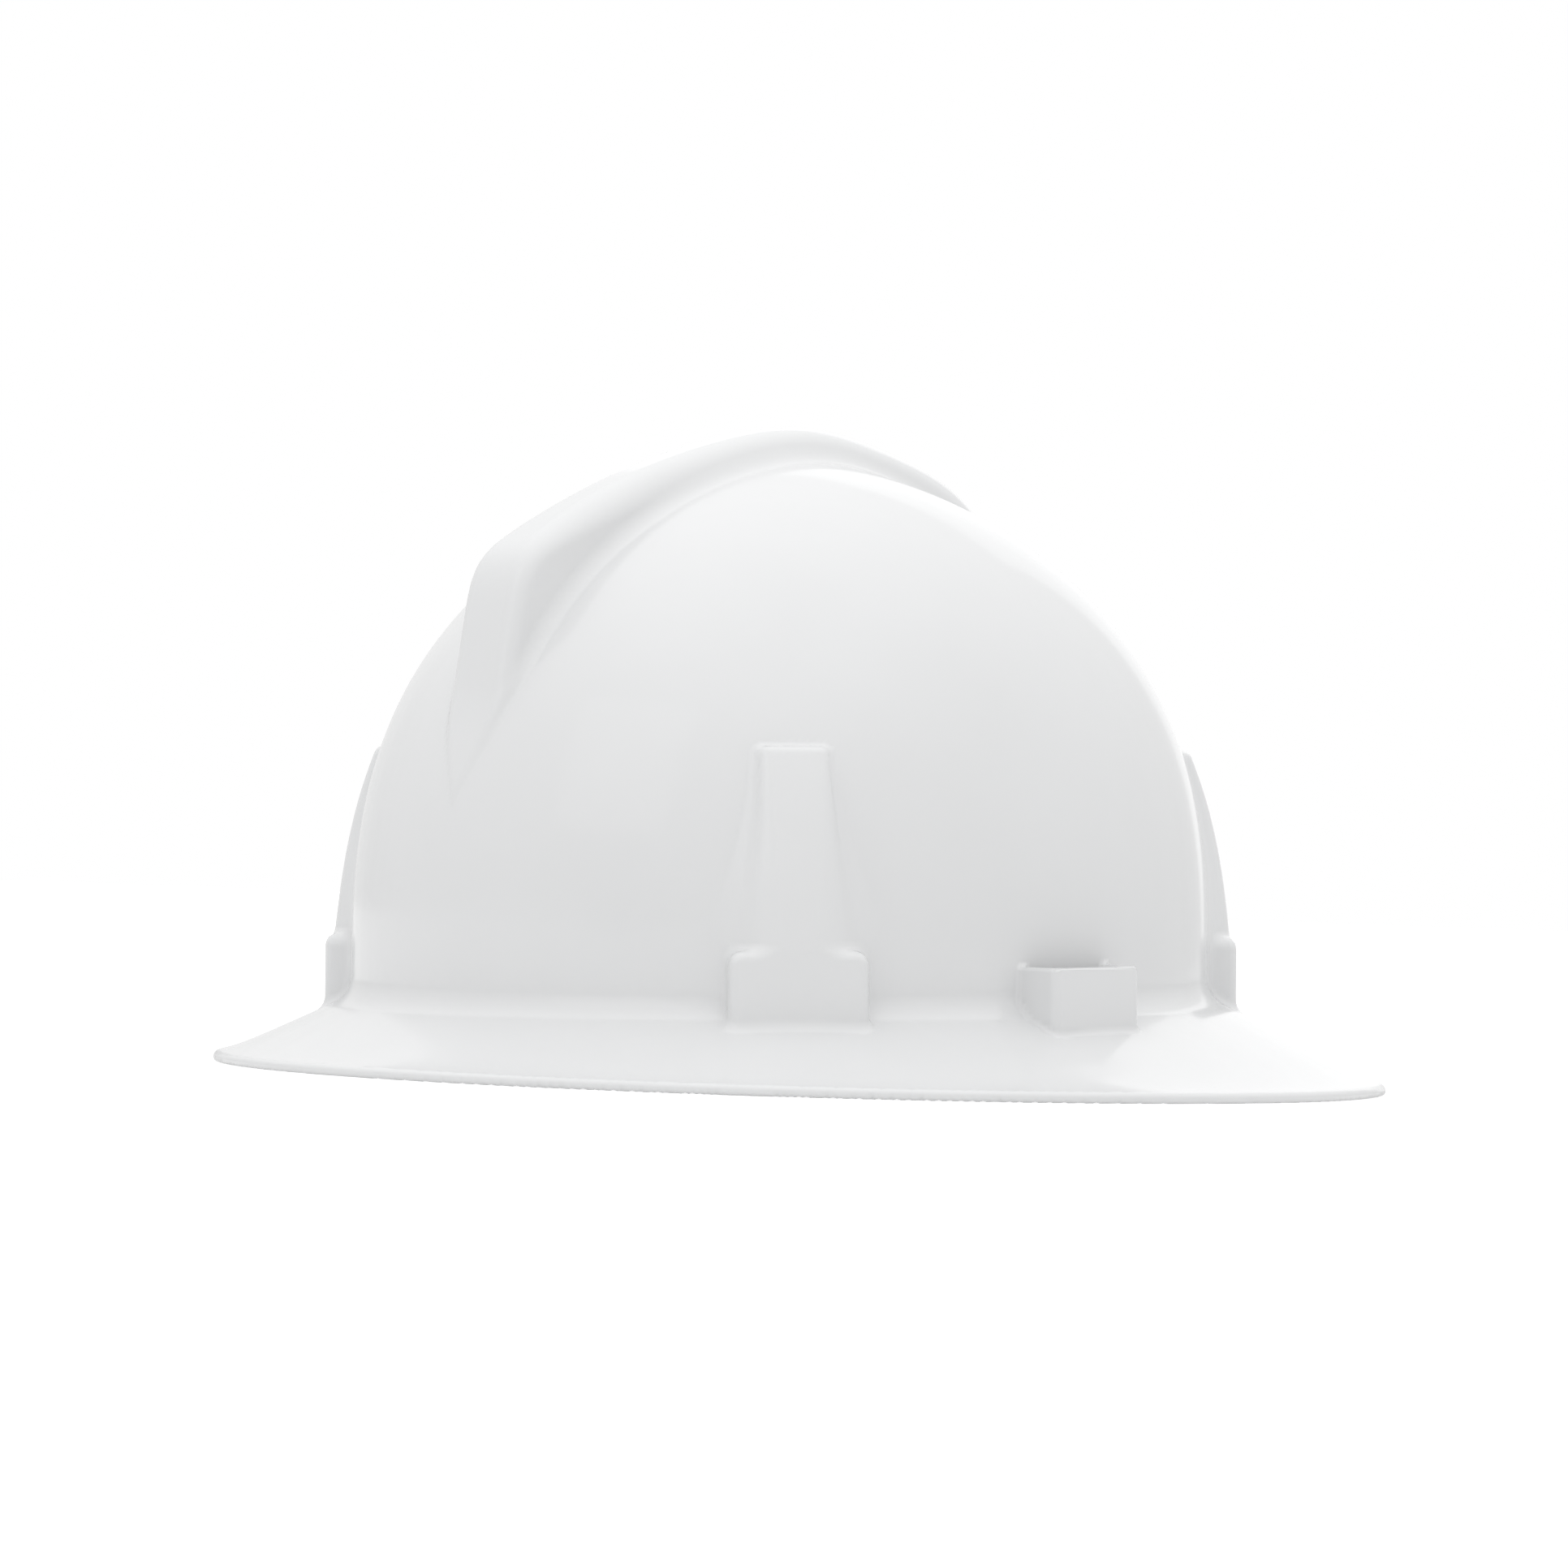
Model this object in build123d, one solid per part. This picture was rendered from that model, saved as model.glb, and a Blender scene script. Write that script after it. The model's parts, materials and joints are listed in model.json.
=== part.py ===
from build123d import *
from math import acos, cos, degrees, hypot, pi, radians, sin, sqrt, tan
import os

os.makedirs("parts", exist_ok=True)

# Full brim hard hat, in millimetres and degrees.
# The hat frame has its origin on the dome's axis, level with the root of the brim: front is
# -Y, the wearer's left is +X, up is +Z. Everything is made there, then set down on the edge
# of the brim, whose plane is tilted a little against the dome.

# Shell: dome
shell_wall = 2.4
dome_half_length = 118.0
dome_width_share = 0.8729
dome_rise = 135.4
dome_foot = 5.0
dome_outline_shares = [(1, 0), (1, 0.357), (1.004, 0.808), (0.240, 1), (0, 1)]

# Shell: brim
brim_half_length = 159.0
brim_half_width = 144.8
brim_tilt_angle = 2.05
brim_root = 1.0
dome_lift = 19.9
dome_forward = 8.8
lip_thickness = 2.4
lip_nose = 0.9
lip_rest_width = 1.3
brim_line_shares = [(0.1, 0.1), (0.45, 0.45), (0.84, 0.93)]

# Shell: crest
crest_half_width = 10.5
crest_edge_radius = 4.0
crest_foot_shares = (-0.985, 0.328)
crest_point_share = 0.35
crest_taper_share = 0.53
crest_brow_shares = (-0.886, 0.698)
crest_line_shares = [
    (-0.836, 0.796),
    (-0.763, 0.844),
    (-0.517, 0.946),
    (-0.229, 1.024),
    (0.017, 1.055),
    (0.305, 1.015),
    (0.483, 0.958),
    (0.636, 0.842),
    (0.822, 0.598),
]
crest_core_share = 0.6
crest_hollow_steps = 24

# Shell: suspension lugs
front_lug_angle = 50.5
rear_lug_angle = 144.2
lug_width = 33.8
lug_top = 16.4
lug_drop = 8.0
lug_stand = 6.8
lug_corner = 3.5
lug_edge_radius = 1.6
tongue_top = 65.0
tongue_foot = 8.0
tongue_top_half = 7.0
tongue_foot_half = 8.3
tongue_top_stand = 2.5
tongue_foot_stand = 6.75
tongue_flare = 1.2
tongue_sections = 4
key_mouth_width = 16.0
key_lip_depth = 0.8

# Shell: accessory pockets
pocket_length = 31.0
pocket_stand = 10.7
pocket_top = 12.0
pocket_back = 10.3
pocket_wall = 2.3
pocket_corner = 1.6

# Suspension keys
key_tab_thickness = 3.0
key_tab_foot = -1.0
key_tab_corner = 2.0
key_neck_width = 15.2
key_neck_foot = 3.0
key_frame_width = 26.0
key_frame_thickness = 2.4
key_frame_set = 10.2
key_bar_height = 19.4
key_bar_radius = 1.6
key_slot_foot = 14.5
key_arm_width = 8.0
key_arm_foot = 9.0
key_arm_top = 13.9
key_peg_radius = 2.0

# Crown straps and the pad under their crossing
strap_width = 19.0
strap_thickness = 1.2
strap_crown_room = 40.4
strap_crossing_lift = 0.6
strap_sewn_length = 28.0
crown_pad_radius = 24.0
crown_pad_thickness = 3.0

# Headband
band_room = 24.0
band_end_share = 1.08444
band_forward = 9.0
band_thickness = 1.4
band_front_top = 23.0
band_front_foot = -9.0
band_front_end_share = 0.585
band_rear_start_share = 0.085
band_rear_gap_half = 35.9
band_vent_length = 13.0
band_vent_height = 3.2
band_vent_count = 5
band_vent_level = 2.0
band_vent_step = 21.8
ear_half_width = 6.4
ear_top = 16.6
loop_from = 36.6
loop_to = 43.0
loop_thickness = 1.4

# Brow pad, its studs and the nape pad
brow_pad_thickness = 3.6
brow_pad_end_share = 0.3617
brow_pad_margin = 1.0
nape_pad_thickness = 3.6
nape_pad_half_length = 29.5
pad_stud_angles = (-50.0, -17.0, 17.0, 50.0)
pad_stud_level = 16.0
pad_stud_radius = 1.3
pad_stud_head_radius = 3.0
pad_stud_head = 1.1

# Toothed tails of the band
tail_height = 20.0
tail_level = -3.0
tail_thickness = 1.2
tail_tip_reach = 29.5
tail_root_reach = 58.9
rack_teeth = 15
tooth_module = 1.0
pinion_teeth = 10
tooth_tip_share = 0.85
tooth_root_share = 1.25
tooth_backlash = 0.3
pressure_angle = 20.0

# Ratchet
ratchet_half_width = 25.6
cover_wall = 1.8
cover_side_wall = 1.9
boss_radius = 13.2
boss_bore = 11.3
boss_reach = 6.6
boss_floor = 1.9
shaft_radius = 2.6
detent_teeth = 24
detent_crest = 9.3
detent_valley = 10.3
detent_thickness = 2.9
pawl_hub_radius = 4.6
pawl_arm_radius = 7.9
pawl_arm_width = 1.1
pawl_arms = 2
pawl_arm_angle = 75.0
pawl_nib_radius = 0.7
pawl_thickness = 2.2
screw_radius = 0.9
screw_head_radius = 1.7
screw_head = 0.8
screw_length = 4.6
screw_reach = 21.1
screw_post_radius = 2.2

# Knob
knob_radius = 17.0
knob_depth = 8.6
knob_skirt = 3.6
knob_scallops = 16
knob_scallop_radius = 2.2
knob_scallop_depth = 0.8
knob_rim_round = 1.2
knob_cap_radius = 9.0
knob_cap_thickness = 1.8
knob_screw_radius = 1.4
knob_screw_head_radius = 3.0
knob_screw_head = 1.8
knob_screw_length = 9.0

# Clearances and the overrun of cuts
gap = 0.3
running_gap = 0.08
snug_gap = 0.05
overrun = 12.0
overrun_angle = 1.0

# Places worked out from the sizes
dome_half_width = dome_width_share * dome_half_length
hat_seat = Location((0, -dome_forward, dome_lift), (brim_tilt_angle, 0, 0))
dome_height = dome_foot + dome_rise
strap_crown = dome_height - strap_crown_room
band_half_length = dome_half_length - band_room
band_half_width = dome_half_width - band_room
band_end_radius = band_end_share * band_half_width**2 / band_half_length
band_front_end = -band_front_end_share * band_half_length
band_rear_start = -band_rear_start_share * band_half_length
brow_pad_end = -brow_pad_end_share * band_half_length
band_end_reach = band_half_length - band_end_radius
rear_centre = band_end_reach - band_forward
front_centre = -band_end_reach - band_forward
band_outer = band_end_radius + band_thickness
left_tail_radius = band_outer + gap
right_tail_radius = left_tail_radius + tail_thickness + gap
cover_inner = right_tail_radius + tail_thickness + gap
cover_outer = cover_inner + cover_wall
tail_foot = tail_level - tail_height / 2
tail_top = tail_level + tail_height / 2
pitch_radius = tooth_module * pinion_teeth / 2
tooth_pitch = pi * tooth_module
tooth_tip = tooth_tip_share * tooth_module
tooth_root = tooth_root_share * tooth_module
boss_end = rear_centre + cover_inner + boss_reach
boss_seat = rear_centre + cover_inner + boss_floor
knob_back = boss_end + gap


def rear_angle(reach):
    """The angle that a length along the outside of the band takes up round its rear."""
    return degrees(reach / band_outer)


band_rear_gap = rear_angle(band_rear_gap_half)
ear_half_angle = rear_angle(ear_half_width)
loop_span = (rear_angle(loop_from), rear_angle(loop_to))
tail_tip_angle = rear_angle(tail_tip_reach)
tail_root_angle = rear_angle(tail_root_reach)
ratchet_half_angle = rear_angle(ratchet_half_width)
nape_pad_half_angle = rear_angle(nape_pad_half_length)
screw_angle = rear_angle(screw_reach)
vent_step_angle = rear_angle(band_vent_step)


# Shell surfaces are bands of four quarter patches between elliptical rings
quarter_corners = [(1, 0), (1, 1), (0, 1), (-1, 1), (-1, 0), (-1, -1), (0, -1), (1, -1), (1, 0)]
corner_weight = sqrt(1 / 2)


def dome_ring(out, up, inset):
    half_width = (dome_half_width - inset) * out
    half_length = (dome_half_length - inset) * out
    height = dome_foot + (dome_rise - inset) * up
    return hat_seat * Pos(0, 0, height), half_width, half_length


def brim_ring(out, down, lower=0, inset=0):
    half_width = dome_half_width + (brim_half_width - dome_half_width) * out - inset
    half_length = dome_half_length + (brim_half_length - dome_half_length) * out - inset
    height = dome_lift + brim_root + (lip_thickness - dome_lift - brim_root) * down - lower
    frame = Location((0, -dome_forward * (1 - out), height), (brim_tilt_angle * (1 - out), 0, 0))
    return frame, half_width, half_length


def ring_point(ring, across, along):
    frame, half_width, half_length = ring
    return (frame * Pos(across * half_width, along * half_length, 0)).position


def band_faces(rings):
    faces = []
    for first in range(0, len(quarter_corners) - 1, 2):
        corners = quarter_corners[first:first + 3]
        points = [[ring_point(ring, *corner) for corner in corners] for ring in rings]
        weights = [[1, corner_weight, 1] for ring in rings]
        faces.append(Face.make_bezier_surface(points, weights))
    return faces


def solid_of_bands(bands, floor):
    frame, half_width, half_length = floor
    faces = [(frame * Ellipse(half_width, half_length)).face()]
    for rings in bands:
        faces += band_faces(rings)
    return Solid(Shell(faces))


def outer_form():
    dome = [dome_ring(out, up, 0) for out, up in dome_outline_shares]
    slope = [brim_ring(out, down) for out, down in brim_line_shares]
    lip = brim_ring(1, 1, 0, lip_nose)
    nose = brim_ring(1, 1, lip_thickness / 2)
    floor = brim_ring(1, 1, lip_thickness, lip_nose)
    bands = [
        dome,
        [dome[0], brim_ring(0, 0), slope[0]],
        slope + [lip],
        [lip, brim_ring(1, 1), nose],
        [nose, brim_ring(1, 1, lip_thickness), floor],
    ]
    return solid_of_bands(bands, floor)


def inner_form():
    dome = [dome_ring(out, up, shell_wall) for out, up in dome_outline_shares]
    brim_drop = dome_lift + brim_root - lip_thickness
    brim_run = (brim_half_width - dome_half_width + brim_half_length - dome_half_length) / 2
    lower = shell_wall * hypot(brim_drop, brim_run) / brim_run
    back = shell_wall / brim_run
    (root_out, root_down), middle, near = brim_line_shares
    floor = brim_ring(1, 1, lip_thickness, lip_nose + lip_rest_width)
    root = brim_ring(root_out - back, root_down - back, lower)
    bands = [
        [floor, brim_ring(*near, shell_wall), brim_ring(*middle, lower), root],
        [root, brim_ring(-back, -back, lower), dome[0]],
        dome,
    ]
    return solid_of_bands(bands, floor)


def dome_share_at(height):
    """Share of the dome's half width left at a height, from its outline curve."""
    low, high = 0, 1
    for halving in range(30):
        middle = (low + high) / 2
        if outline_at(middle)[1] * dome_rise + dome_foot < height:
            low = middle
        else:
            high = middle
    return outline_at(low)[0]


def outline_at(step):
    points = dome_outline_shares
    while len(points) > 1:
        points = [
            (a[0] + (b[0] - a[0]) * step, a[1] + (b[1] - a[1]) * step)
            for a, b in zip(points, points[1:])
        ]
    return points[0]


# Crest along the top of the dome, hollow like the dome
def crest(inset):
    def place(shares):
        return dome_half_length * shares[0], dome_height * shares[1]

    foot = place(crest_foot_shares)
    brow = place(crest_brow_shares)
    line = [place(shares) for shares in crest_line_shares]
    tail = line[-1]
    core_front = (foot[0] * crest_core_share, foot[1])
    core_back = (tail[0] * crest_core_share, foot[1])
    rising = Vector(brow[0] - foot[0], brow[1] - foot[1]).normalized()
    falling = Vector(tail[0] - line[-2][0], tail[1] - line[-2][1]).normalized()
    front = ((foot[0] + brow[0]) / 2, (foot[1] + brow[1]) / 2)
    top = Spline(foot, front, brow, *line, tangents=[rising, falling])
    if inset:
        moved = []
        for step in range(crest_hollow_steps + 1):
            along = top.tangent_at(step / crest_hollow_steps)
            inward = Vector(along.Y, -along.X) * inset
            moved.append(top.position_at(step / crest_hollow_steps) + inward)
        top = Spline(*moved, tangents=[rising, falling])
    outline = top + Polyline(top @ 1, core_back, core_front, top @ 0)
    half_width = crest_half_width - inset
    return Plane.YZ.offset(-half_width) * extrude(make_face(outline), 2 * half_width)


def pointed(ridge, inset):
    """The crest with its front foot brought to a point, seen from the front."""
    slope = dome_height * (crest_taper_share - crest_point_share) / crest_half_width
    point = dome_height * crest_point_share + inset * hypot(1, slope)
    reach = crest_half_width + overrun
    outline = [
        (0, point), (reach, point + slope * reach), (reach, 2 * dome_height),
        (-reach, 2 * dome_height), (-reach, point + slope * reach),
    ]
    view = make_face(Plane.XZ * Polyline(*outline, close=True))
    return ridge & extrude(view, 2 * dome_half_length, both=True)


# Suspension lugs: local x runs round the dome, y up and z outward
def lug_plane(turn):
    x = dome_half_width * sin(radians(turn))
    y = -dome_half_length * cos(radians(turn))
    outward = Vector(x / dome_half_width**2, y / dome_half_length**2, 0).normalized()
    return Plane(origin=(x, y, 0), x_dir=(-outward.Y, outward.X, 0), z_dir=outward)


def lug_block():
    height = lug_top + lug_drop
    face = Pos(0, lug_top - height / 2) * RectangleRounded(lug_width, height, lug_corner)
    block = Pos(0, 0, -overrun) * extrude(face, overrun + lug_stand)
    return fillet(block.faces().sort_by(Axis.Z)[-1].edges(), lug_edge_radius)


def lug_tongue(plane, inset):
    reach = plane.origin.dot(plane.z_dir)
    top = tongue_top - inset
    sections = []
    for step in range(tongue_sections):
        share = step / (tongue_sections - 1)
        height = tongue_foot + (top - tongue_foot) * share
        fall = max(height - lug_top, 0) / (tongue_top - lug_top)
        stand = tongue_foot_stand + (tongue_top_stand - tongue_foot_stand) * fall
        depth = reach * (dome_share_at(height) - 1) + stand - inset
        half = tongue_foot_half + (tongue_top_half - tongue_foot_half) * share
        half -= inset * (hypot(1, tongue_flare) - tongue_flare)
        deep_half = half + tongue_flare * overrun
        level = Plane(origin=(0, height, depth), x_dir=(1, 0, 0), z_dir=(0, 1, 0))
        outline = [(-half, 0), (half, 0), (deep_half, overrun), (-deep_half, overrun)]
        sections.append(level * make_face(Polyline(*outline, close=True)))
    return loft(sections)


def lug(turn):
    plane = lug_plane(turn)
    return plane.location * (lug_block() + lug_tongue(plane, 0))


def lug_hollow(turn):
    plane = lug_plane(turn)
    height = lug_top - shell_wall + overrun
    middle = height / 2 - overrun
    slot_depth = lug_stand - shell_wall - key_lip_depth
    slot = Pos(0, middle, key_lip_depth + slot_depth / 2) * Box(
        lug_width - 2 * shell_wall, height, slot_depth
    )
    mouth_depth = overrun + key_lip_depth
    mouth = Pos(0, middle, key_lip_depth - mouth_depth / 2) * Box(
        key_mouth_width, height, mouth_depth
    )
    return plane.location * (slot + mouth + lug_tongue(plane, shell_wall))


# Accessory pocket on the wearer's left: a wall and two ends, open at the top
def accessory_pocket():
    depth = pocket_stand + overrun
    height = pocket_top + lug_drop
    middle = (dome_half_width + pocket_stand - depth / 2, pocket_back - pocket_length / 2)
    block = Pos(*middle, pocket_top - height / 2) * Box(depth, pocket_length, height)
    outer_edges = block.edges().filter_by(Axis.Z).sort_by(Axis.X)[-2:]
    block = fillet(outer_edges, pocket_corner)
    hollow = Pos(middle[0] - pocket_wall, middle[1], pocket_top) * Box(
        depth, pocket_length - 2 * pocket_wall, 2 * height
    )
    return block - hollow


def both_sides(part):
    return [part, mirror(part, about=Plane.YZ)]


def make_shell():
    outer = outer_form()
    inner = inner_form()
    ridge = crest(0)
    ridge = fillet(ridge.edges().filter_by(GeomType.BSPLINE), crest_edge_radius)
    shell = outer + hat_seat * pointed(ridge, 0)
    turns = (front_lug_angle, rear_lug_angle)
    for turn in turns:
        for side in both_sides(lug(turn)):
            shell += hat_seat * side
    for side in both_sides(accessory_pocket()):
        shell += hat_seat * side
    shell -= inner
    shell -= hat_seat * pointed(crest(shell_wall), shell_wall)
    for turn in turns:
        for side in both_sides(lug_hollow(turn)):
            shell -= hat_seat * side
    return shell


# Plates bent round an end of the band; angles run from the middle towards +X
def bent_plate(centre, radius_in, radius_out, angle_from, angle_to, foot, top, facing=1):
    def point(radius, angle):
        turn = radians(angle)
        return radius * sin(turn), centre + facing * radius * cos(turn)

    middle = (angle_from + angle_to) / 2
    inner = [point(radius_in, angle) for angle in (angle_from, middle, angle_to)]
    outer = [point(radius_out, angle) for angle in (angle_to, middle, angle_from)]
    outline = ThreePointArc(*inner) + Line(inner[-1], outer[0])
    outline += ThreePointArc(*outer) + Line(outer[-1], inner[0])
    return extrude(Plane.XY.offset(foot) * make_face(outline), top - foot, dir=(0, 0, 1))


def rear_plate(radius_in, radius_out, angle_from, angle_to, foot, top):
    return bent_plate(rear_centre, radius_in, radius_out, angle_from, angle_to, foot, top)


def round_from_rear(radius_from, radius_to, angle, height, radius):
    """A round bar along a radius of the band's rear arc."""
    turn = radians(angle)
    direction = (sin(turn), cos(turn), 0)
    start = (radius_from * sin(turn), rear_centre + radius_from * cos(turn), height)
    return Plane(origin=start, z_dir=direction) * extrude(Circle(radius), radius_to - radius_from)


# Band outline: an oval of four arcs, grown outward by a distance
def oval(grow):
    side_radius = band_half_width**2 + band_end_reach**2 - band_end_radius**2
    side_radius /= 2 * (band_half_width - band_end_radius)
    side_reach = side_radius - band_half_width
    spread = hypot(side_reach, band_end_reach)
    joint_x = (band_end_radius + grow) * side_reach / spread
    joint_y = band_end_reach + (band_end_radius + grow) * band_end_reach / spread
    width = band_half_width + grow
    length = band_half_length + grow
    outline = ThreePointArc((joint_x, -joint_y), (width, 0), (joint_x, joint_y))
    outline += ThreePointArc((joint_x, joint_y), (0, length), (-joint_x, joint_y))
    outline += ThreePointArc((-joint_x, joint_y), (-width, 0), (-joint_x, -joint_y))
    outline += ThreePointArc((-joint_x, -joint_y), (0, -length), (joint_x, -joint_y))
    return Pos(0, -band_forward) * make_face(outline)


def oval_ring(grow_in, grow_out, foot, top):
    outer = Pos(0, 0, foot) * extrude(oval(grow_out), top - foot)
    return outer - Pos(0, 0, foot - overrun) * extrude(oval(grow_in), top - foot + 2 * overrun)


# Where a lug's line meets the band, and which way the band faces there
def band_contact(turn):
    plane = lug_plane(turn)
    centre = front_centre if plane.origin.Y < 0 else rear_centre
    away = plane.origin - Vector(0, centre, 0)
    half = away.dot(plane.z_dir)
    distance = half - sqrt(half**2 - away.dot(away) + band_outer**2)
    contact = plane.origin - plane.z_dir * distance
    facing = (contact - Vector(0, centre, 0)).normalized()
    return distance, contact, facing


def peg_bar(turn, radius, inward, outward):
    distance, contact, facing = band_contact(turn)
    level = (key_arm_foot + key_arm_top) / 2
    start = contact - facing * inward + Vector(0, 0, level)
    return Plane(origin=start, z_dir=facing) * extrude(Circle(radius), inward + outward)


def make_headband():
    rear_centre_angle = band_contact(rear_lug_angle)[2]
    ear_angle = degrees(acos(rear_centre_angle.Y))
    band = oval_ring(0, band_thickness, tail_foot, band_front_top)
    front_edge = -band_half_length - band_forward - overrun
    rear_edge = band_half_length + overrun
    above = Polyline(
        (front_edge, band_front_top), (band_front_end, band_front_top)
    ) + Spline(
        (band_front_end, band_front_top), (band_rear_start, tail_top), tangents=[(1, 0), (1, 0)]
    ) + Polyline(
        (band_rear_start, tail_top), (rear_edge, tail_top), (rear_edge, band_front_top + overrun),
        (front_edge, band_front_top + overrun), (front_edge, band_front_top),
    )
    below = Polyline(
        (front_edge, band_front_foot), (band_front_end, band_front_foot)
    ) + Spline(
        (band_front_end, band_front_foot), (band_rear_start, tail_foot), tangents=[(1, 0), (1, 0)]
    ) + Polyline(
        (band_rear_start, tail_foot), (band_rear_start, tail_foot - overrun),
        (front_edge, tail_foot - overrun), (front_edge, band_front_foot),
    )
    for outline in (above, below):
        band -= extrude(make_face(Plane.YZ * outline), band_half_width + overrun, both=True)
    band -= rear_plate(
        band_end_radius - overrun, band_outer + overrun, -band_rear_gap, band_rear_gap,
        tail_foot - overrun, band_front_top,
    )
    bridge_in = cover_inner
    bridge_out = bridge_in + loop_thickness
    rim = tail_top + gap
    for side in (-1, 1):
        ear = (side * ear_angle - ear_half_angle, side * ear_angle + ear_half_angle)
        band += rear_plate(
            band_end_radius + snug_gap, band_outer - snug_gap, *ear, tail_level, ear_top
        )
        near, far = sorted(side * angle for angle in loop_span)
        bridge = rear_plate(
            band_end_radius + running_gap, bridge_out, near, far,
            tail_foot - gap - loop_thickness, rim + loop_thickness,
        )
        bridge -= rear_plate(
            band_outer + running_gap, bridge_in, near - overrun_angle, far + overrun_angle,
            tail_foot - gap, rim,
        )
        band += bridge
    for turn in (front_lug_angle, rear_lug_angle):
        hole = peg_bar(turn, key_peg_radius + gap, overrun / 2, overrun / 2)
        for side in both_sides(hole):
            band -= side
    for angle in pad_stud_angles:
        band -= stud_bar(angle, pad_stud_radius + gap / 2, -overrun, overrun)
    half_span = degrees(band_vent_length / band_outer) / 2
    for number in range(band_vent_count):
        angle = (number - (band_vent_count - 1) / 2) * vent_step_angle
        band -= bent_plate(
            front_centre, band_end_radius - overrun, band_outer + overrun,
            angle - half_span, angle + half_span,
            band_vent_level - band_vent_height / 2, band_vent_level + band_vent_height / 2, -1,
        )
    return band


def stud_bar(angle, radius, inward, outward):
    """A round bar through the front of the band, from and to distances off its inner face."""
    turn = radians(angle)
    direction = Vector(sin(turn), -cos(turn), 0)
    start = Vector(0, front_centre, pad_stud_level) + direction * (band_end_radius + inward)
    return Plane(origin=start, z_dir=direction) * extrude(Circle(radius), outward - inward)


def make_brow_pad():
    foot = band_front_foot + brow_pad_margin
    top = band_front_top - brow_pad_margin
    pad = oval_ring(-gap - brow_pad_thickness, -gap, foot, top)
    keep_length = band_half_length + band_forward + brow_pad_end
    keep = Box(2 * band_half_width, keep_length, 2 * (top - foot))
    return pad & (Pos(0, brow_pad_end - keep_length / 2, (top + foot) / 2) * keep)


def make_pad_studs():
    studs = []
    for angle in pad_stud_angles:
        shank = stud_bar(angle, pad_stud_radius, -gap, band_thickness + gap + pad_stud_head / 2)
        seat = band_thickness + gap / 2
        head = stud_bar(angle, pad_stud_head_radius, seat, seat + pad_stud_head)
        studs.append(shank + head)
    return studs


# Suspension keys: a tab in the lug, a bar for the strap and a peg for the headband
def bar_place(turn):
    plane = lug_plane(turn)
    return plane.origin - plane.z_dir * key_frame_set


def strap_ends(turn_from, turn_to):
    start = bar_place(turn_from)
    end = bar_place(turn_to)
    return start, Vector(-end.X, end.Y, 0)


def make_key(turn, other_turn):
    plane = lug_plane(turn)
    slot_face = lug_stand - shell_wall - gap
    tab_top = lug_top - shell_wall - gap
    tab_height = tab_top - key_tab_foot
    tab_width = lug_width - 2 * shell_wall - 2 * gap
    tab_face = RectangleRounded(tab_width, tab_height, key_tab_corner)
    tab = Pos(0, tab_top - tab_height / 2, slot_face - key_tab_thickness) * extrude(
        tab_face, key_tab_thickness
    )
    neck_height = tab_top - key_neck_foot
    neck_depth = slot_face + key_frame_set
    neck = Pos(0, tab_top - neck_height / 2, slot_face - neck_depth / 2) * Box(
        key_neck_width, neck_height, neck_depth
    )
    distance, contact, facing = band_contact(turn)
    arm_depth = distance - key_frame_set - gap - key_frame_thickness / 2
    arm = Pos(0, (key_arm_foot + key_arm_top) / 2, -key_frame_set - arm_depth / 2) * Box(
        key_arm_width, key_arm_top - key_arm_foot, arm_depth
    )
    key = plane.location * (tab + neck + arm)
    key += peg_bar(turn, key_peg_radius, band_thickness, key_frame_thickness)
    start, end = strap_ends(turn, other_turn)
    frame_plane = Plane(
        origin=start,
        x_dir=(end - start).cross(Vector(0, 0, 1)),
        z_dir=start - end,
    )
    frame_top = key_bar_height + key_bar_radius
    frame_height = frame_top - key_neck_foot
    frame = Pos(0, frame_top - frame_height / 2) * Box(
        key_frame_width, frame_height, key_frame_thickness
    )
    window_height = frame_top - key_slot_foot + overrun
    window_width = strap_width + 4 * gap
    frame -= Pos(0, key_slot_foot + window_height / 2) * Box(
        window_width, window_height, overrun
    )
    bar = Plane(origin=(-window_width / 2, key_bar_height, 0), z_dir=(1, 0, 0)) * extrude(
        Circle(key_bar_radius), window_width
    )
    return key + frame_plane.location * (frame + bar)


# Crown straps: webbing over the head from a front bar to the rear bar across from it, each
# side an arc that is level where the two straps cross
def strap_line(turn, other_turn):
    start, end = strap_ends(turn, other_turn)
    chord = (end - start).length
    return start, end, chord, chord * start.X / (start.X - end.X)


def arc_radius(reach, rise):
    return (reach**2 + rise**2) / (2 * rise)


def arc_strip(centre, inner, outer, turn_from, turn_to):
    turns = (turn_from, (turn_from + turn_to) / 2, turn_to)
    low = [(-inner * sin(radians(t)), inner * cos(radians(t))) for t in turns]
    high = [(-outer * sin(radians(t)), outer * cos(radians(t))) for t in turns[::-1]]
    outline = ThreePointArc(*low) + Line(low[-1], high[0])
    outline += ThreePointArc(*high) + Line(high[-1], low[0])
    return Pos(*centre) * make_face(outline)


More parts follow.
